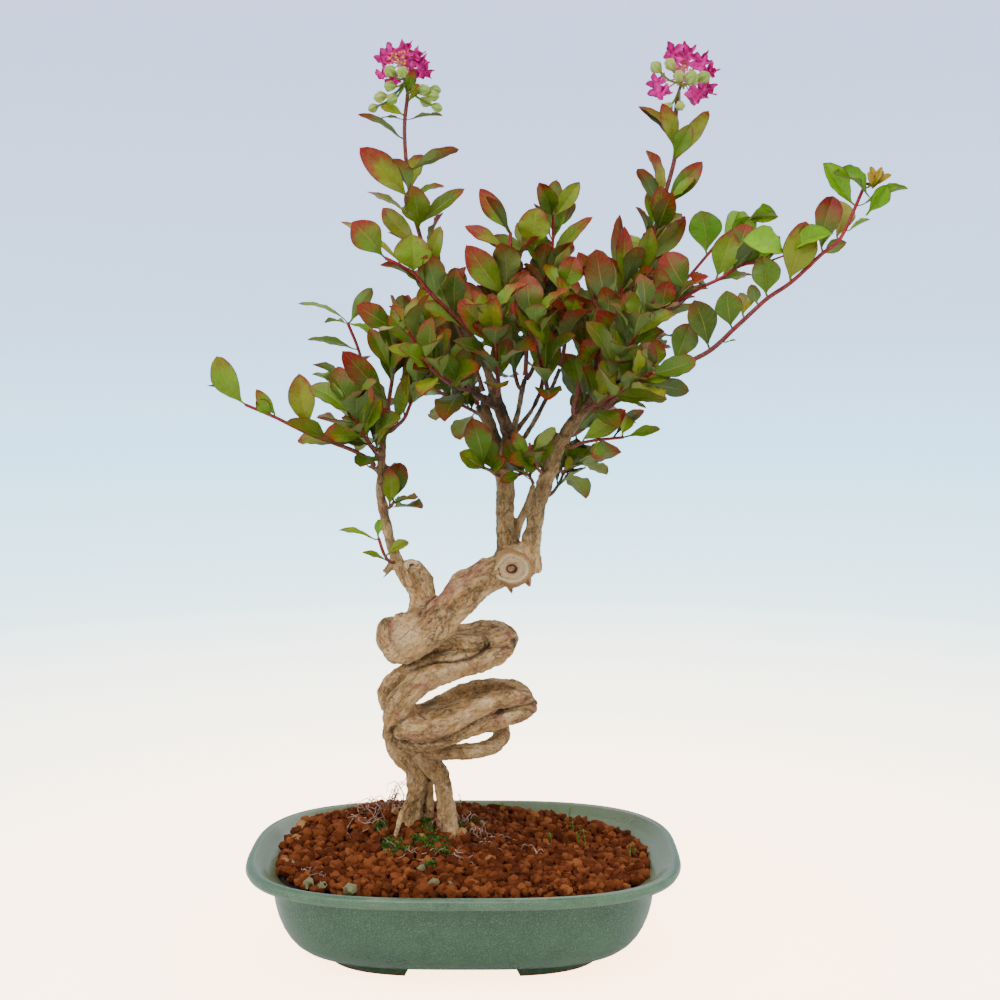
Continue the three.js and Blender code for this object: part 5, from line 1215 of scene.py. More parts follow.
sprouts = []
for x, y, tall in SEEDLINGS:
    foot = np.array([x, y, soil_height(x, y) + 1.5])
    top = foot + [draw.gauss(0, 1), draw.gauss(0, 1), tall]
    stalk = strand("seedling_stalk", [(*foot, 0.3), (*((foot + top) / 2 + 0.4), 0.26),
                                      (*top, 0.22)], 1)
    sprouts.append((*taken(stalk), 0.9))
    for level in (1.0, 0.72, 0.5):
        shape, faces = draw.choice(tufts)
        spot = np.array(at(*(foot + (top - foot) * level)))
        flat = np.array([1, 1, 0.45]) * draw.uniform(2.2, 3.4) * level * MM
        sprouts.append((shape * flat + spot, faces, draw.uniform(0.6, 0.95)))
sprouts = mesh_of("seedlings", sprouts, ["tint"])
rest_on(sprouts, green)


# Leafy shoots
# Slender woody twigs that redden towards their ends, with paired oval leaves on very short stalks:
# the old ones olive green with crimson and orange tips, the young ones lime. Each leaf grows where
# it does in its node of the frame, and points, arches and folds as it does there.
# The blades as the nodes have them, to read them back: thickness, rows and shape
SHEET = 0.76
LEAF_ROWS_AT = (0.34, 0.72)
STALK_END = 0.1
OFF_STEM = 1.2
WAVES = 9.4
BLADE_TAPER = 1.2
BLADE_ROUND = 0.75
# The blades as they are grown here
BLADE_COLUMNS = 10
BLADE_LENGTHS = 15
BLADE_THICK = 0.34
STALK_HALF = 0.55
MERGE = 2e-5
# How red and how young the leaves of a shoot are, from 0 to 1
TONES = {
    "far_left": (0.4, 0.1), "up_left": (0.5, 0.1), "mid_left": (0.6, 0.1),
    "thin_left": (0.3, 0.3), "right_of_left": (0.4, 0.2), "front_left": (0.5, 0.1),
    "back_left": (0.4, 0.1), "basal": (0.3, 0.4), "bend_left": (0.5, 0.1),
    "flower_left": (0.6, 0.05), "centre_top": (0.9, 0.1), "centre_mid": (0.7, 0.1),
    "centre_back": (0.6, 0.1), "centre_right": (0.8, 0.1), "centre_front": (0.6, 0.1),
    "mid_front": (0.7, 0.1), "right_inner": (0.95, 0.1), "right_upper": (0.95, 0.1),
    "right_red": (0.85, 0.1), "right_side": (0.6, 1.0), "right_far": (0.6, 1.0),
    "flower_right": (0.55, 0.1), "low_right": (0.5, 0.2), "under_right": (0.4, 0.1),
    "right_tuft": (0.8, 0.1), "back_right": (0.5, 0.1), "inner_left": (0.5, 0.1),
}
TONE_ELSE = (0.45, 0.1)


def pairs_of(corners):
    """Corners of the upper and lower skin that lie a blade's thickness apart."""
    found = []
    left = list(corners)
    while left:
        one = left.pop()
        mate = [v for v in left if abs((v.co - one.co).length - MM * SHEET) < MERGE]
        if mate:
            left.remove(mate[0])
            found.append((one, mate[0]))
    return found


def beyond(corners, known):
    """The corners next to these that aren't known yet."""
    return {e.other_vert(v) for v in corners for e in v.link_edges} - known


def shape_at(length):
    """The share of the full half width that a node's blade has at a share of its length."""
    u = max(0.0, (length - STALK_END) / (1 - STALK_END))
    return max(0.0, math.sin(math.pi * u ** BLADE_TAPER)) ** BLADE_ROUND


def read_blade(tip, known):
    """Where one leaf of a merged node grows, how it lies and how it is bent, from its corners."""
    around = [e.other_vert(tip) for e in tip.link_edges]
    pairs = pairs_of(around) if len(around) == 6 else []
    if len(pairs) != 3:
        return None
    rim = [p for p in pairs if any(p[1] in e.verts for e in p[0].link_edges)]
    middle = [p for p in pairs if p not in rim]
    if len(rim) != 2:
        return None
    centre = (middle[0][0].co + middle[0][1].co) / 2
    edges = [(a.co + b.co) / 2 for a, b in rim]
    face = (middle[0][0].co - middle[0][1].co).normalized()
    if ((edges[0] + edges[1]) / 2 - centre).dot(face) < 0:
        face = -face
    seen = {tip, *around}
    low_row = beyond(around, seen)
    seen |= low_row
    last = low_row
    foot = beyond(low_row, seen)
    if len(pairs_of(foot)) == 2:
        seen |= foot
        last = foot
        foot = beyond(foot, seen)
    known |= seen
    spots = [v.co for v in foot]
    root = sum(spots, Vector()) / len(spots)
    diagonal = max(((p - q) for p in spots for q in spots), key=lambda v: v.length)
    other = max(((p - q) for p in spots for q in spots),
                key=lambda v: v.cross(diagonal).length)
    out = diagonal.cross(other).normalized()
    if (sum((v.co for v in last), Vector()) / len(last) - root).dot(out) < 0:
        out = -out
    base = root + MM * OFF_STEM * out
    way = tip.co - base
    length = way.length
    way = way.normalized()
    across = way.cross(face)
    rows = {LEAF_ROWS_AT[1]: edges}
    rows[LEAF_ROWS_AT[0]] = [(a.co + b.co) / 2 for a, b in pairs_of(low_row)]
    arch_end = (centre - base).dot(face)
    arch = arch_end / (length * math.sin(math.pi * LEAF_ROWS_AT[1]))
    half_end = abs((edges[0] - edges[1]).dot(across)) / 2
    width = 2 * half_end / shape_at(LEAF_ROWS_AT[1])
    fold = sum((p - base).dot(face) - arch_end for p in edges) / (2 * half_end)
    waves = []
    for s in LEAF_ROWS_AT:
        left, right = sorted(rows[s], key=lambda p: (p - base).dot(across))
        half = (right - left).dot(across) / 2
        waves.append((right - left).dot(face) / (2 * half))
    (one, two), (p, q) = waves, (WAVES * s for s in LEAF_ROWS_AT)
    spin = math.sin(p) * math.cos(q) - math.sin(q) * math.cos(p)
    wave = ((one * math.cos(q) - two * math.cos(p)) / spin,
            (two * math.sin(p) - one * math.sin(q)) / spin)
    return {"root": root, "base": base, "way": way, "face": face, "across": across,
            "length": length, "width": width, "arch": arch, "fold": fold, "wave": wave}


def read_stem(shape, known):
    """The rings of a stem in order, each with its middle and its radius, from the foot up."""
    stem = set(shape.verts) - known
    found = []
    for edge in shape.edges:
        corners = {v for f in edge.link_faces for v in f.verts}
        if len(corners) != 4 or not corners <= stem:
            continue
        rings, seen = [corners], set(corners)
        while len(rings[-1]) == 4:
            rings.append(beyond(rings[-1], seen) & stem)
            seen |= rings[-1]
        if not rings[-1] and seen == stem:
            middles = [sum((v.co for v in ring), Vector()) / 4 for ring in rings[:-1]]
            sizes = [sum((v.co - m).length for v in ring) / 4
                     for ring, m in zip(rings, middles)]
            foot = wood_near(Vector(local(middles[0])))[0]
            found.append((foot[0], list(zip(middles, sizes)), foot[1:]))
    found.sort(key=lambda row: row[0])
    return found[0]


def flat_grid(columns, lengths):
    """A flat grid: across it from -1 to 1, along it from 0 to 1, and its faces."""
    deselect_all()
    bpy.ops.mesh.primitive_grid_add(x_subdivisions=columns, y_subdivisions=lengths, size=2,
                                    location=(0, 0, 0))
    flat, faces = taken(bpy.context.object)
    return flat[:, 0], (flat[:, 1] + 1) / 2, faces


def thicken(piece, thickness, offset=0):
    """Gives a sheet its thickness, with the next material on its underside if asked."""
    sheet = piece.modifiers.new("thickness", "SOLIDIFY")
    sheet.thickness = MM * thickness
    sheet.offset = 0
    sheet.material_offset = offset
    bpy.ops.object.modifier_apply(modifier=sheet.name)


def within_one(value):
    """A value held between 0 and 1."""
    return min(1, max(0, value))


blade_t, blade_s, blade_faces = flat_grid(BLADE_COLUMNS, BLADE_LENGTHS)
STEM_MORE = 0.25
EDGE_CRINKLE = 0.035
TIP_CURL = 0.09


def grow_blade(leaf, draw):
    """The corners of one leaf, bent as its node is, with a crinkled edge and a curled tip."""
    vec = {k: np.array(v) for k, v in leaf.items() if isinstance(v, Vector)}
    length, t, s = leaf["length"], blade_t, blade_s
    u = np.clip((s - 0.02) / 0.98, 0, 1)
    broad = np.clip(np.sin(np.pi * u ** draw.uniform(1.1, 1.4)), 0, 1)
    outline = broad ** (1.05 - draw.uniform(0.25, 0.6) * u)
    half = np.maximum(leaf["width"] / 2 * outline,
                      np.interp(s, [0, 0.1, 0.16, 1], [0.6, STALK_HALF, 0, 0]) * MM)
    one, two = leaf["wave"]
    wave = half * t * (one * np.sin(WAVES * s) + two * np.cos(WAVES * s))
    lift = leaf["arch"] * length * np.sin(np.pi * s) + leaf["fold"] * np.abs(t) * half + wave
    phase = draw.uniform(0, 6.28)
    rate = draw.uniform(20, 30)
    frill = np.sin(rate * s + phase + 1.5 * t) * np.abs(t) ** 3 * half
    lift += 2.2 * EDGE_CRINKLE * frill * np.sign(t + 1e-9)
    curl = draw.uniform(-1, 0.6) * TIP_CURL
    lift += curl * length * np.maximum(0, s - 0.7) ** 2 * 9 * (1 - s)
    roll = leaf.get("roll", 0.01) * (0.6 + 0.4 * s)
    lift += half * (1 - np.cos(roll * t)) / roll
    beside = half * np.sin(roll * t) / roll
    sway = draw.uniform(-0.05, 0.05) * length * np.sin(np.pi * s)
    spots = (vec["base"] + np.outer(length * s, vec["way"])
             + np.outer(beside + sway, vec["across"]) + np.outer(lift, vec["face"]))
    foot = np.clip(1 - s / 0.07, 0, 1)[:, None]
    flat = vec["root"] - 0.35 * (vec["base"] - vec["root"])
    across_foot = np.outer(STALK_HALF * MM * t, vec["across"])
    return spots * (1 - foot) + (flat + across_foot) * foot


# Leaves that the solids had no room for: place along the stem, tip, width and how the upper face
# is turned, 0 up, 90 to the viewer and -90 away
MORE_LEAVES = {
    "far_left": [(1, -147, -25, 344, 8, 10), (0.8, -119, -25, 336, 8, 80)],
    "flower_left": [(1, -27.9, -6, 526, 7, 80), (0.97, -22.3, -5, 517, 5, 60),
                    (0.93, -47.6, -4, 505, 6, 70)],
    "centre_top": [(1, 10, -8, 458, 11, 85), (0.45, 39, -15, 410, 9, 70)],
    "right_inner": [(0.9, 76, -30, 421, 17, -80)],
    "right_upper": [(0.99, 93, 10, 445, 8, -80)],
    "right_red": [(0.77, 131, -25, 406, 8, 60), (1, 182, -24, 429, 10, 100)],
    "flower_right": [(0.87, 103, 6, 507, 7, 30)],
    "low_right": [(0.63, 78, -20, 301, 8, 90)],
    "right_tuft": [(1, 67, -16, 421, 9, 80)],
}
# Young leaves rolled inwards: foot, tip, width, how the upper face is turned, and how far rolled
ROLLED_LEAVES = {
    "right_far": [
        (229, -36, 450, 207, -43, 462, 14, 50, 1.3), (230, -36, 448, 250, -39, 454, 8, 40, 1.6),
        (231, -36, 455, 227, -40, 463, 4, 80, 0.8), (231, -36, 455, 230, -34, 467, 4, 90, 0.8),
        (231, -36, 455, 235, -39, 466, 4, 80, 0.8), (231, -36, 455, 241, -37, 462, 4, 60, 1),
        (228, -36, 440, 238, -40, 456, 12, 90, 1.3),
    ],
    "right_red": [
        (183, -38, 418, 157, -45, 425, 19, 65, 0.8), (183, -38, 418, 208, -42, 429, 12, 60, 1.0),
        (183, -38, 418, 194, -38, 431, 9, 90, 1.0), (168, -28, 415, 180, -33, 422, 8, 60, 0.9),
        (157, -20, 411, 162, -18, 427, 8, 80, 1.2),
    ],
    "right_side": [
        (169, 18, 442, 187, 12, 444, 11, 40, 1.7), (160, 16, 434, 170, 8, 443, 9, 80, 1.6),
        (158, 14, 431, 172, 22, 445, 15, 90, 0.4),
    ],
}
# Ends of two shoots that the nodes stop short of, as x, y, z and radius
YOUNG_TWIGS = {"right_red": [(161, -20, 413, 0.75), (172, -29, 414, 0.65),
                             (184, -38, 418, 0.6)],
               "right_far": [(227, -35, 457, 0.8), (231, -36, 456, 0.7)]}
ROLLED_OLD = 1.1
ROLLED_ARCH = 0.12
STAR_LEAF = 12.5
# How full the photo shows each shoot: the gap between added pairs in millimetres, and from where
# to where along it
FULLNESS = {
    "far_left": (0, 0, 0), "flower_left": (14, 0.3, 0.72), "flower_right": (13, 0.25, 0.72),
    "basal": (0, 0, 0), "thin_left": (0, 0, 0), "right_far": (0, 0, 0),
    "bend_left": (9, 0.2, 1), "right_side": (0, 0, 0),
}
FULL_ELSE = (9.5, 0.2, 1)
PAIR_LENGTHS = (21, 32)
PAIR_BREADTHS = (0.46, 0.6)
PAIR_CLEAR = 2.4
TIP_CLEAR, BLADE_CLEAR = 4, 3
RING_STEP = 2.5


def new_blade(root, tip, width, facing, draw):
    """A leaf of its own: where it grows, which way it points and how it is bent."""
    way = (tip - root).normalized()
    base = root + way * MM * OFF_STEM
    face = (facing - way * facing.dot(way)).normalized()
    return {"root": root, "base": base, "way": way, "face": face, "across": way.cross(face),
            "length": (tip - base).length, "width": width, "arch": draw.uniform(0.03, 0.1),
            "fold": draw.uniform(0.2, 0.5), "wave": (draw.uniform(-0.2, 0.2),
                                                     draw.uniform(-0.2, 0.2))}


def facing_of(turn):
    """The way a leaf's upper face looks, for a turn from up towards the viewer."""
    tilt = math.radians(turn)
    return Vector((0, -math.sin(tilt), math.cos(tilt)))


def along_rings(rings, share):
    """The middle, radius and direction of a stem at a share of its length."""
    steps = [(b[0] - a[0]).length for a, b in zip(rings, rings[1:])]
    left = share * sum(steps)
    for (a, b), step in zip(zip(rings, rings[1:]), steps):
        if left <= step or b is rings[-1]:
            part = min(1, left / step)
            return a[0].lerp(b[0], part), a[1] + (b[1] - a[1]) * part, (b[0] - a[0]).normalized()
        left -= step


def added_leaves(name, rings, leaves, draw):
    """Leaves beyond those of the node: the listed ones, and pairs that fill the shoot up."""
    made = []
    for share, x, y, z, width, turn in MORE_LEAVES.get(name, []):
        root = along_rings(rings, share)[0]
        made.append(new_blade(root, at(x, y, z), width * MM, facing_of(turn), draw))
    for *spots, width, turn, roll in ROLLED_LEAVES.get(name, []):
        young = new_blade(at(*spots[:3]), at(*spots[3:]), width * MM, facing_of(turn), draw)
        made.append({**young, "roll": roll, "arch": ROLLED_ARCH})
    step, start, stop = FULLNESS.get(name, FULL_ELSE)
    total = sum((b[0] - a[0]).length for a, b in zip(rings, rings[1:]))
    roots = [leaf["root"] for leaf in leaves]
    swing = draw.uniform(0, math.pi)
    distance = start * total
    while step and distance < stop * total - 2 * MM:
        root, radius, way = along_rings(rings, distance / total)
        distance += step * MM * draw.uniform(0.8, 1.25)
        swing += math.pi / 2 + draw.uniform(-0.4, 0.4)
        if min((root - other).length for other in roots) < PAIR_CLEAR * MM:
            continue
        side = way.orthogonal().normalized()
        for half in (0, math.pi):
            turn = swing + half
            out = side * math.cos(turn) + way.cross(side) * math.sin(turn)
            lean = out * draw.uniform(0.45, 0.8) + way * draw.uniform(0.4, 0.8)
            lean = (lean + Vector((0, 0, draw.uniform(0.2, 0.7)))).normalized()
            length = MM * draw.uniform(*PAIR_LENGTHS)
            foot = root + out * radius * 0.6
            tip = foot + lean * length
            halfway = local(foot + lean * length * 0.6)
            clear = (wood_near(local(tip))[0][0] > TIP_CLEAR
                     and wood_near(halfway)[0][0] > BLADE_CLEAR)
            inside = all(low < v < high for low, v, high in zip(cad_box[0], tip, cad_box[1]))
            if clear and inside:
                facing = Vector((0, -draw.uniform(0, 1), draw.uniform(0.4, 1))) - 0.3 * out
                width = length * draw.uniform(*PAIR_BREADTHS)
                made.append(new_blade(foot, tip, width, facing, draw))
    return made


def grow_shoot(name, draw):
    """One shoot: its stem through the rings of its node, with a blade for each of its leaves."""
    shape = bmesh.new()
    shape.from_mesh(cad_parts["shoot_" + name].data)
    bmesh.ops.remove_doubles(shape, verts=shape.verts, dist=MERGE)
    known = set()
    leaves = [leaf for leaf in (read_blade(v, known) for v in shape.verts) if leaf]
    _, rings, (wood, index) = read_stem(shape, known)
    shape.free()
    leaves += added_leaves(name, rings, leaves, draw)
    red, young = TONES.get(name, TONE_ELSE)
    top = max(leaf["root"].z for leaf in leaves)
    low = rings[0][0].z
    parts = []
    for leaf in leaves:
        up = (leaf["root"].z - low) / max(top - low, 0.01)
        small = within_one((0.03 - leaf["length"]) / 0.015)
        redness = within_one(red * draw.uniform(0.5, 1.45))
        fresh = within_one((up - 0.7) / 0.2)
        youth = within_one(young * fresh + 0.3 * small + draw.gauss(0.05, 0.08))
        lot = draw.random()
        if "roll" in leaf:
            youth = draw.uniform(0.85, 1)
            redness = 0
            lot = 1 if leaf["length"] < STAR_LEAF * MM else 0.6 * lot
        elif young * fresh > 0.5:
            leaf["roll"] = ROLLED_OLD
        redness *= 1 - 0.9 * youth * young
        parts.append((grow_blade(leaf, draw), blade_faces, blade_t, blade_s, redness, youth, lot))
    blades = mesh_of("blades_" + name, parts, ["across", "along", "redness", "youth", "lot"])
    blades.data.materials.append(leaf_top)
    blades.data.materials.append(leaf_under)
    thicken(blades, BLADE_THICK, 1)
    foot = wood_lines[wood][0][index]
    start = Vector(at(*foot[:3]))
    first = rings[0][0]
    rows = [(*(local(start + (first - start) * 0.35)), rings[0][1] / MM * 1.5)]
    spaced = [rings[0]]
    for ring in rings[1:]:
        if (ring[0] - spaced[-1][0]).length > RING_STEP * MM:
            spaced.append(ring)
    if len(spaced) > 1:
        spaced.pop()
    spaced.append(rings[-1])
    rows += [(*local(middle), size / MM + STEM_MORE) for middle, size in spaced]
    rows += YOUNG_TWIGS.get(name, [])[1:]
    stem = strand("stem_" + name, rows, 1)
    stem.data.materials.append(stem_bark)
    heights = np.array([v.co.z for v in stem.data.vertices])
    run = np.clip((heights - low) / max(top - low, 0.01), 0, 1)
    values = np.clip(0.25 + run * (0.55 + 0.5 * red), 0, 1)
    if name.startswith("flower"):
        values *= 0.5
    made = stem.data.attributes.new("redness", "FLOAT", "POINT")
    made.data.foreach_set("value", values.astype(np.float32))
    shoot = join([blades, stem], "leafy_" + name)
    smooth_under(50)
    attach(shoot, "root")
    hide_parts("shoot_" + name)


def vein_group():
    """Node group: how much of a blade's surface is midrib, side vein and edge."""
    group, given, result = new_group("leaf_veins", ("Across", "Along", "Lot"),
                                     ("Midrib", "Side Veins", "Edge"))
    off = maths(group, "ABSOLUTE", given["Across"])
    width = spread(group, given["Along"], 0.1, 1.0, 0.075, 0.03)
    rib = maths(group, "SUBTRACT", width, off)
    group.links.new(spread(group, rib, 0.0, 0.035), result["Midrib"])
    climb = times(group, off, 0.2)
    run = maths(group, "SUBTRACT", given["Along"], climb)
    turns = plus(group, times(group, run, 56.0), times(group, given["Lot"], 6.28))
    wavy = maths(group, "SINE", turns)
    group.links.new(spread(group, wavy, 0.78, 1.0), result["Side Veins"])
    group.links.new(spread(group, off, 0.55, 1.0), result["Edge"])
    return group


VEINS = vein_group()


def leaf_finish(name, under):
    """The finish of the upper or the lower side of a leaf."""
    made, tree, shader = finish_of(name, 0.6 if under else 0.42)
    shader.inputs["Specular IOR Level"].default_value = 0.2 if under else 0.3
    value = {key: stored(tree, key) for key in ("across", "along", "redness", "youth", "lot")}
    shares = {key.title(): value[key] for key in ("across", "along", "lot")}
    part = node(tree, "Group", shares, node_tree=VEINS).outputs
    blotches = specks(tree, object_place(tree), 420.0, 120.0)
    old = ramp(tree, value["lot"], (0.0, "2c4203"), (0.4, "486004"), (0.75, "6a7c08"),
               (1.0, "8a8c14"))
    fresh = ramp(tree, value["lot"], (0.0, "6aa806"), (0.7, "8cc414"), (0.9, "b4c81c"),
                 (1.0, "d0a428"))
    base = blend(tree, value["youth"], old, fresh)
    base = over(tree, base, "6e6c10", blotches["Mottle"], 0.4)
    if under:
        base = over(tree, base, "66744a", 0.5)
    noisy = spread(tree, blotches["Mottle"], 0.0, 1.0, -0.14, 0.14)
    reach = plus(tree, value["along"], times(tree, part["Edge"], 0.17))
    reach = plus(tree, reach, noisy)
    blush = plus(tree, reach, times(tree, value["redness"], 0.55))
    orange = spread(tree, blush, 0.9, 1.22, 0.0, 0.5 if under else 0.75)
    crimson = spread(tree, blush, 1.08, 1.38, 0.0, 0.7 if under else 0.95)
    base = over(tree, base, "80480a", orange)
    base = over(tree, base, "8c0e06", crimson)
    base = over(tree, base, "4a0d06", spread(tree, part["Edge"], 0.86, 0.98, 0.0, 0.75))
    base = over(tree, base, "7f8f5e" if under else "8c9a34", part["Side Veins"], 0.12)
    base = over(tree, base, "9c9a60" if under else "a8a244", part["Midrib"], 0.5)
    base = over(tree, base, "4a3a16", blotches["Dark Specks"], 0.25)
    give(tree, shader, Base_Color=base)
    height = plus(tree, times(tree, part["Side Veins"], 0.5), part["Midrib"])
    emboss(tree, shader, height, 0.6, 0.35, invert=not under)
    return made


leaf_top = leaf_finish("leaf_upper_side", False)
leaf_under = leaf_finish("leaf_lower_side", True)
stem_bark, tree, shader = finish_of("shoot_bark", 0.6)
place = object_place(tree)
redness = stored(tree, "redness")
flecks = specks(tree, place, 900.0, 220.0)
shade = ramp(tree, redness, (0.0, "6b4526"), (0.35, "6a2c1a"), (0.7, "7e1010"), (1.0, "a0101e"))
shade = over(tree, shade, "b08a58", flecks["Light Specks"], 0.4)
shade = over(tree, shade, "2c0f08", flecks["Dark Specks"], 0.5)
give(tree, shader, Base_Color=shade)
emboss(tree, shader, flecks["Mottle"], 0.5, 0.3)

draw = random.Random(7)
for name in sorted(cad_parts):
    if name.startswith("shoot_"):
        grow_shoot(name[6:], draw)


# Flowers
# Two heads of crinkled magenta petals, each petal on a thin claw, round a boss of orange stamens
# on pale threads. Below them stand round green ridged buds on short green stalks.
# Petals as x, y, z of their tip and width, buds as x, y, z, radius and where they leave the stem
HEADS = {
    "left": {
        "foot": (-32, 0, 513), "hub": (-36, 0, 530),
        "petals": [
            (-50, -1, 533.5, 12), (-45.5, 2, 540, 12), (-37, 5, 541, 12), (-30.5, -2, 542.4, 13),
            (-23, 3, 537.5, 13), (-19.5, -3, 530.5, 12), (-17.5, 2, 524, 11), (-25, 2, 522, 10),
            (-48.5, -6, 521, 10), (-42, 3, 517.5, 11), (-33, 15, 535, 12), (-32, 14, 524, 11),
        ],
        "buds": [
            (-41.2, -12, 523.8, 3, 0.5), (-34.2, -14, 522.8, 3, 0.6), (-22.1, -6, 514.3, 3, 0.4),
            (-16.2, 4, 516, 2.8, 0.5), (-17, -4, 511.4, 2.9, 0.35), (-21.6, 4, 509.4, 2.8, 0.35),
            (-14.8, -2, 505, 2.6, 0.4), (-47.8, -4, 510.7, 3, 0.35), (-40.5, -8, 508.8, 2.9, 0.35),
            (-42, -6, 516.4, 2.8, 0.4), (-43.8, 4, 506.5, 2.6, 0.4), (-52.3, 0, 505.1, 2.4, 0.4),
        ],
    },
    "right": {
        "foot": (125, 0, 511), "hub": (128.8, 4, 522.9),
        "petals": [
            (120.5, 2, 541.5, 14), (132.4, 6, 542.4, 14), (144, 2, 535, 14),
            (149, 5, 527.5, 12), (148.5, 10, 516, 14), (139.5, -4, 507.5, 14),
            (110, 12, 521, 12), (110.5, -2, 510.5, 14), (129, 22, 534, 12), (137, 19, 512, 12),
        ],
        "buds": [
            (111.9, -6, 527.1, 3, 0.7), (119.8, -8, 528.4, 3, 0.9), (124.5, -12, 520.9, 3, 0.6),
            (132, -12, 519.8, 3.5, 0.6), (139.7, -6, 521.5, 3.1, 0.7), (119.4, -4, 504.9, 2.6, 0.4),
            (126, -7, 505, 2.6, 0.4),
        ],
    },
}
PETAL_COLUMNS = 20
PETAL_LENGTHS = 26
CLAW_END = 0.2
CLAW_HALF = 0.5
PETAL_LOBES = 5
PETAL_THICK = 0.25
FRILL = 1.7
STAMENS = 26
STAMEN_REACH = (5, 9)
PETAL_GLOW = 0.22
BUD_BANDS = 10
BUD_RIDGES = 6
BUD_FULLER = 1.08

petal_t, petal_s, petal_faces = flat_grid(PETAL_COLUMNS, PETAL_LENGTHS)
petal_rim = np.maximum(np.abs(petal_t), petal_s) * (petal_s > CLAW_END)


def grow_petal(hub, tip, width, draw):
    """The corners of one petal and how high its folds stand: a claw and a ragged, crinkled star."""
    hub, tip = np.array(hub, float), np.array(tip, float)
    way = tip - hub
    length = np.linalg.norm(way)
    way /= length
    face = np.array([draw.random() - 0.5, -1, 0.6])
    face -= way * (face @ way)
    face /= np.linalg.norm(face)
    across = np.cross(way, face)
    t, s = petal_t, petal_s
    q = 2 * (s - CLAW_END) / (1 - CLAW_END) - 1
    blade = q > -1.001
    q = np.clip(q, -1, 1)
    east, north = t * np.sqrt(1 - q * q / 2), q * np.sqrt(1 - t * t / 2)
    off, turn = np.hypot(east, north), np.arctan2(north, east)
    phase = draw.uniform(0, 6.28)
    lobes = 2 / np.pi * np.arcsin(np.sin(PETAL_LOBES * turn + phase))
    small = 0.07 * np.sin(13 * turn + 2 * phase)
    star = width / 2 * (0.82 + 0.3 * lobes + small)
    middle = length - 0.42 * width
    run = np.where(blade, middle + star * north, s / CLAW_END * (middle - 0.4 * width))
    beside = np.where(blade, star * east, CLAW_HALF * t)
    fold = 2 / np.pi * np.arcsin(np.sin(PETAL_LOBES * turn + phase + 1.2))
    crumple = np.sin(9 * east + phase) * np.cos(8 * north + 2 * phase)
    deep = np.where(blade, off * FRILL * fold + 0.35 * FRILL * crumple, 0)
    deep += 0.25 * width * blade * (off ** 2 - 0.5)
    spots = (hub + np.outer(run, way) + np.outer(beside, across) + np.outer(deep, face))
    height = np.where(blade, 0.5 + 0.5 * (fold * off + 0.5 * crumple), 0.5)
    return np.array([at(*spot) for spot in spots]), np.clip(height, 0, 1)


petal_skin, tree, shader = finish_of("magenta_petal", 0.55)
place = object_place(tree)
along = stored(tree, "along")
lot = stored(tree, "lot")
crepe = specks(tree, place, 500.0, 260.0)
shade = ramp(tree, lot, (0.0, "b00068"), (0.5, "d0007e"), (1.0, "f018a4"))
shade = over(tree, shade, "740050", crepe["Mottle"], 0.45)
shade = over(tree, shade, "e0409c", crepe["Light Specks"], 0.15)
shade = over(tree, shade, "c04484", spread(tree, along, 0.4, 0.1, 0.0, 0.7))
# Painted shade in the troughs of the petals' folds and a painted highlight on their crests.
fold_light_and_shade = stored(tree, "fold_light_and_shade")
shade = over(tree, shade, "6a0048", spread(tree, fold_light_and_shade, 0.5, 0.1, 0.0, 0.75))
shade = over(tree, shade, "f81ea8", spread(tree, fold_light_and_shade, 0.6, 1.0, 0.0, 0.6))
rim = spread(tree, stored(tree, "rim"), 0.8, 1.0)
dark_rim = times(tree, rim, spread(tree, lot, 0.3, 0.9, 0.0, 0.7))
shade = over(tree, shade, "3c0030", dark_rim)
# The petals also give off their own colour: a painted glow that brightens them as if lit through.
give(tree, shader, Base_Color=shade, Emission_Color=shade)
shader.inputs["Emission Strength"].default_value = PETAL_GLOW
emboss(tree, shader, crepe["Mottle"], 0.7, 0.4)

stamen_skin, tree, shader = finish_of("orange_stamen", 0.6)
tint = stored(tree, "tint")
place = object_place(tree)
grit = specks(tree, place, 1200.0, 400.0)
shade = ramp(tree, tint, (0.0, "c9799f"), (0.5, "e0a28e"), (0.75, "d87d2a"), (1.0, "e8a53c"))
shade = over(tree, shade, "b5561a", grit["Mottle"], 0.4)
give(tree, shader, Base_Color=shade)

bud_skin, tree, shader = finish_of("green_bud", 0.5)
place = object_place(tree)
tint = stored(tree, "tint")
ridge = stored(tree, "ridge")
grit = specks(tree, place, 900.0, 300.0)
shade = ramp(tree, tint, (0.0, "6e3c34"), (0.3, "7c5038"), (0.5, "668222"), (0.8, "86a42c"),
             (1.0, "aaae44"))
shade = over(tree, shade, "74902a", grit["Mottle"], 0.4)
# Painted highlight: paler green laid along the ridges of each bud.
shade = over(tree, shade, "c2cc78", ridge, 0.5)
give(tree, shader, Base_Color=shade)


def bud_template():
    """A round bud about 1 in radius, with six ridges that meet in a small point on top."""
    deselect_all()
    bpy.ops.mesh.primitive_uv_sphere_add(segments=4 * BUD_RIDGES, ring_count=BUD_BANDS,
                                         radius=1, location=(0, 0, 0))
    flat, faces = taken(bpy.context.object)
    turn = np.arctan2(flat[:, 1], flat[:, 0])
    ridge = np.cos(BUD_RIDGES * turn)
    off = np.hypot(flat[:, 0], flat[:, 1])
    flat[:, :2] *= (1 + 0.13 * ridge * off)[:, None]
    flat[:, 2] += 0.22 * np.maximum(0, flat[:, 2]) ** 8
    under = np.maximum(0, -flat[:, 2])
    flat[:, :2] *= (1 - 0.15 * under ** 2)[:, None]
    flat[:, 2] -= 0.45 * under ** 4
    return flat, faces, (ridge + 1) / 2 * off


def stalk(tint, rows):
    """The corners, faces, tint and ridge highlight of a round stalk through rows."""
    return (*taken(strand("stalk", rows, 1)), tint, 0.0)


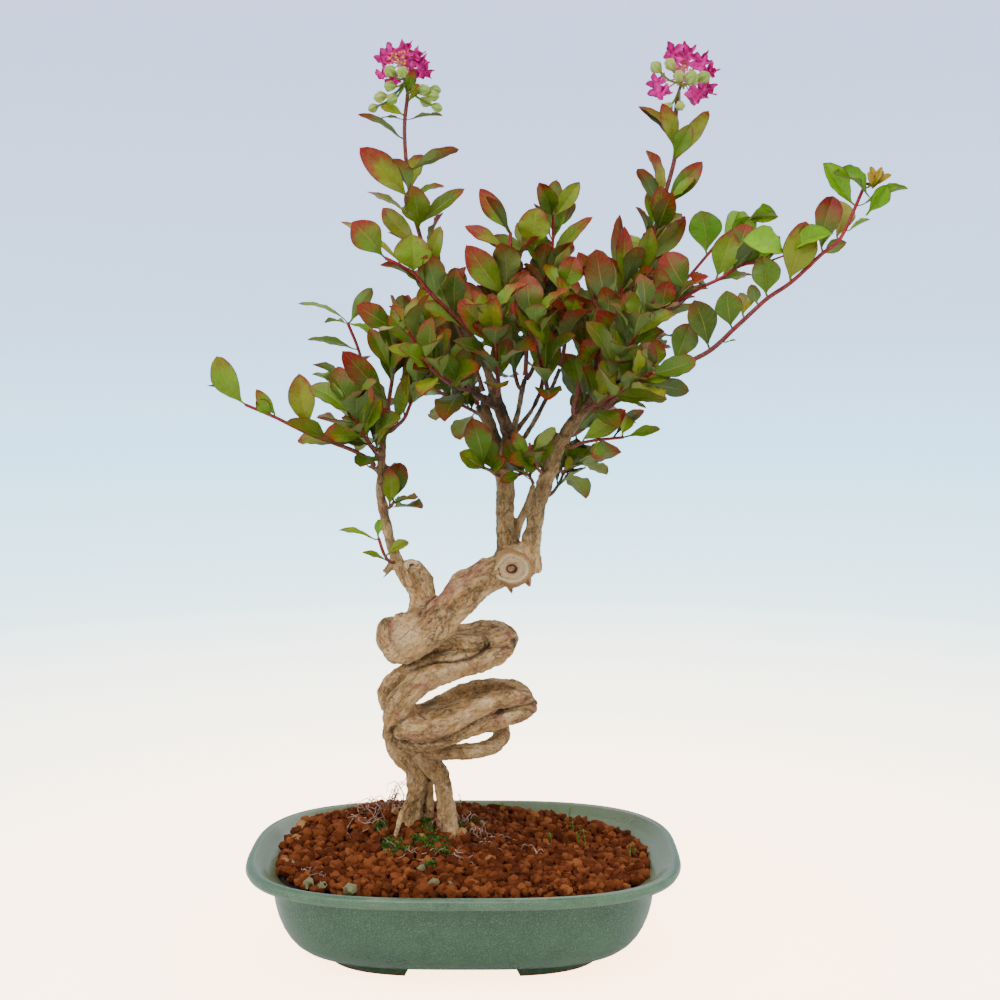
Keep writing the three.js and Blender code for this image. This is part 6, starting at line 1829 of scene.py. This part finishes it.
bud_shape, bud_faces, bud_ridge_highlight = bud_template()
draw = random.Random(19)
for side, head in HEADS.items():
    foot, hub = np.array(head["foot"], float), np.array(head["hub"], float)
    sheets = []
    for x, y, z, wide in head["petals"]:
        spots, height = grow_petal(hub, (x, y, z), wide, draw)
        sheets.append((spots, petal_faces, petal_s, petal_rim, height, draw.random()))
    petals = mesh_of("petals_" + side, sheets, ["along", "rim", "fold_light_and_shade", "lot"])
    thicken(petals, PETAL_THICK)
    smooth_under(60)
    rest_on(petals, petal_skin)

    threads = []
    for count in range(STAMENS):
        aim_at = np.array([draw.gauss(0, 1), draw.gauss(-0.8, 0.6), draw.gauss(0.5, 0.7)])
        aim_at /= np.linalg.norm(aim_at)
        reach = draw.uniform(*STAMEN_REACH)
        end = hub + aim_at * reach
        mid = hub + aim_at * reach * 0.5 + [0, 0, 0.6]
        thread = strand("thread", [(*hub, 0.16), (*mid, 0.14), (*end, 0.12)], 0)
        threads.append((*taken(thread), 0.2))
        knob = grain_shapes[count % GRAIN_KINDS]
        threads.append((knob[0] * 1.5 * MM + np.array(at(*end)), knob[1], 0.9))
    core = grain_shapes[0]
    threads.append((core[0] * 4.4 * MM + np.array(at(*hub)), core[1], 0.1))
    stamens = mesh_of("stamens_" + side, threads, ["tint"])
    smooth_under(50)
    rest_on(stamens, stamen_skin)

    up = (hub - foot) / np.linalg.norm(hub - foot)
    rows = [(*(foot - up * 1.5), 1.05), (*(foot + up * 5), 0.95), (*hub, 0.9)]
    parts = [stalk(0.05, rows)]
    for x, y, z, radius, share in head["buds"]:
        bud = np.array([x, y, z], float)
        start = foot + (hub - foot) * share
        middle = (start + bud) / 2 - [0, 0, 0.12 * np.linalg.norm(bud - start)]
        parts.append(stalk(0.5, [(*start, 0.75), (*middle, 0.6), (*bud, 0.9)]))
        shape = bud_shape * radius * BUD_FULLER @ turn_to(bud - middle).T + bud
        spots = np.array([at(*spot) for spot in shape])
        parts.append((spots, bud_faces, draw.uniform(0.62, 1.0), bud_ridge_highlight))
    buds = mesh_of("buds_" + side, parts, ["tint", "ridge"])
    smooth_under(50)
    rest_on(buds, bud_skin)
    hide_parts("flower_petals_" + side)
    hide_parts("flower_buds_" + side)
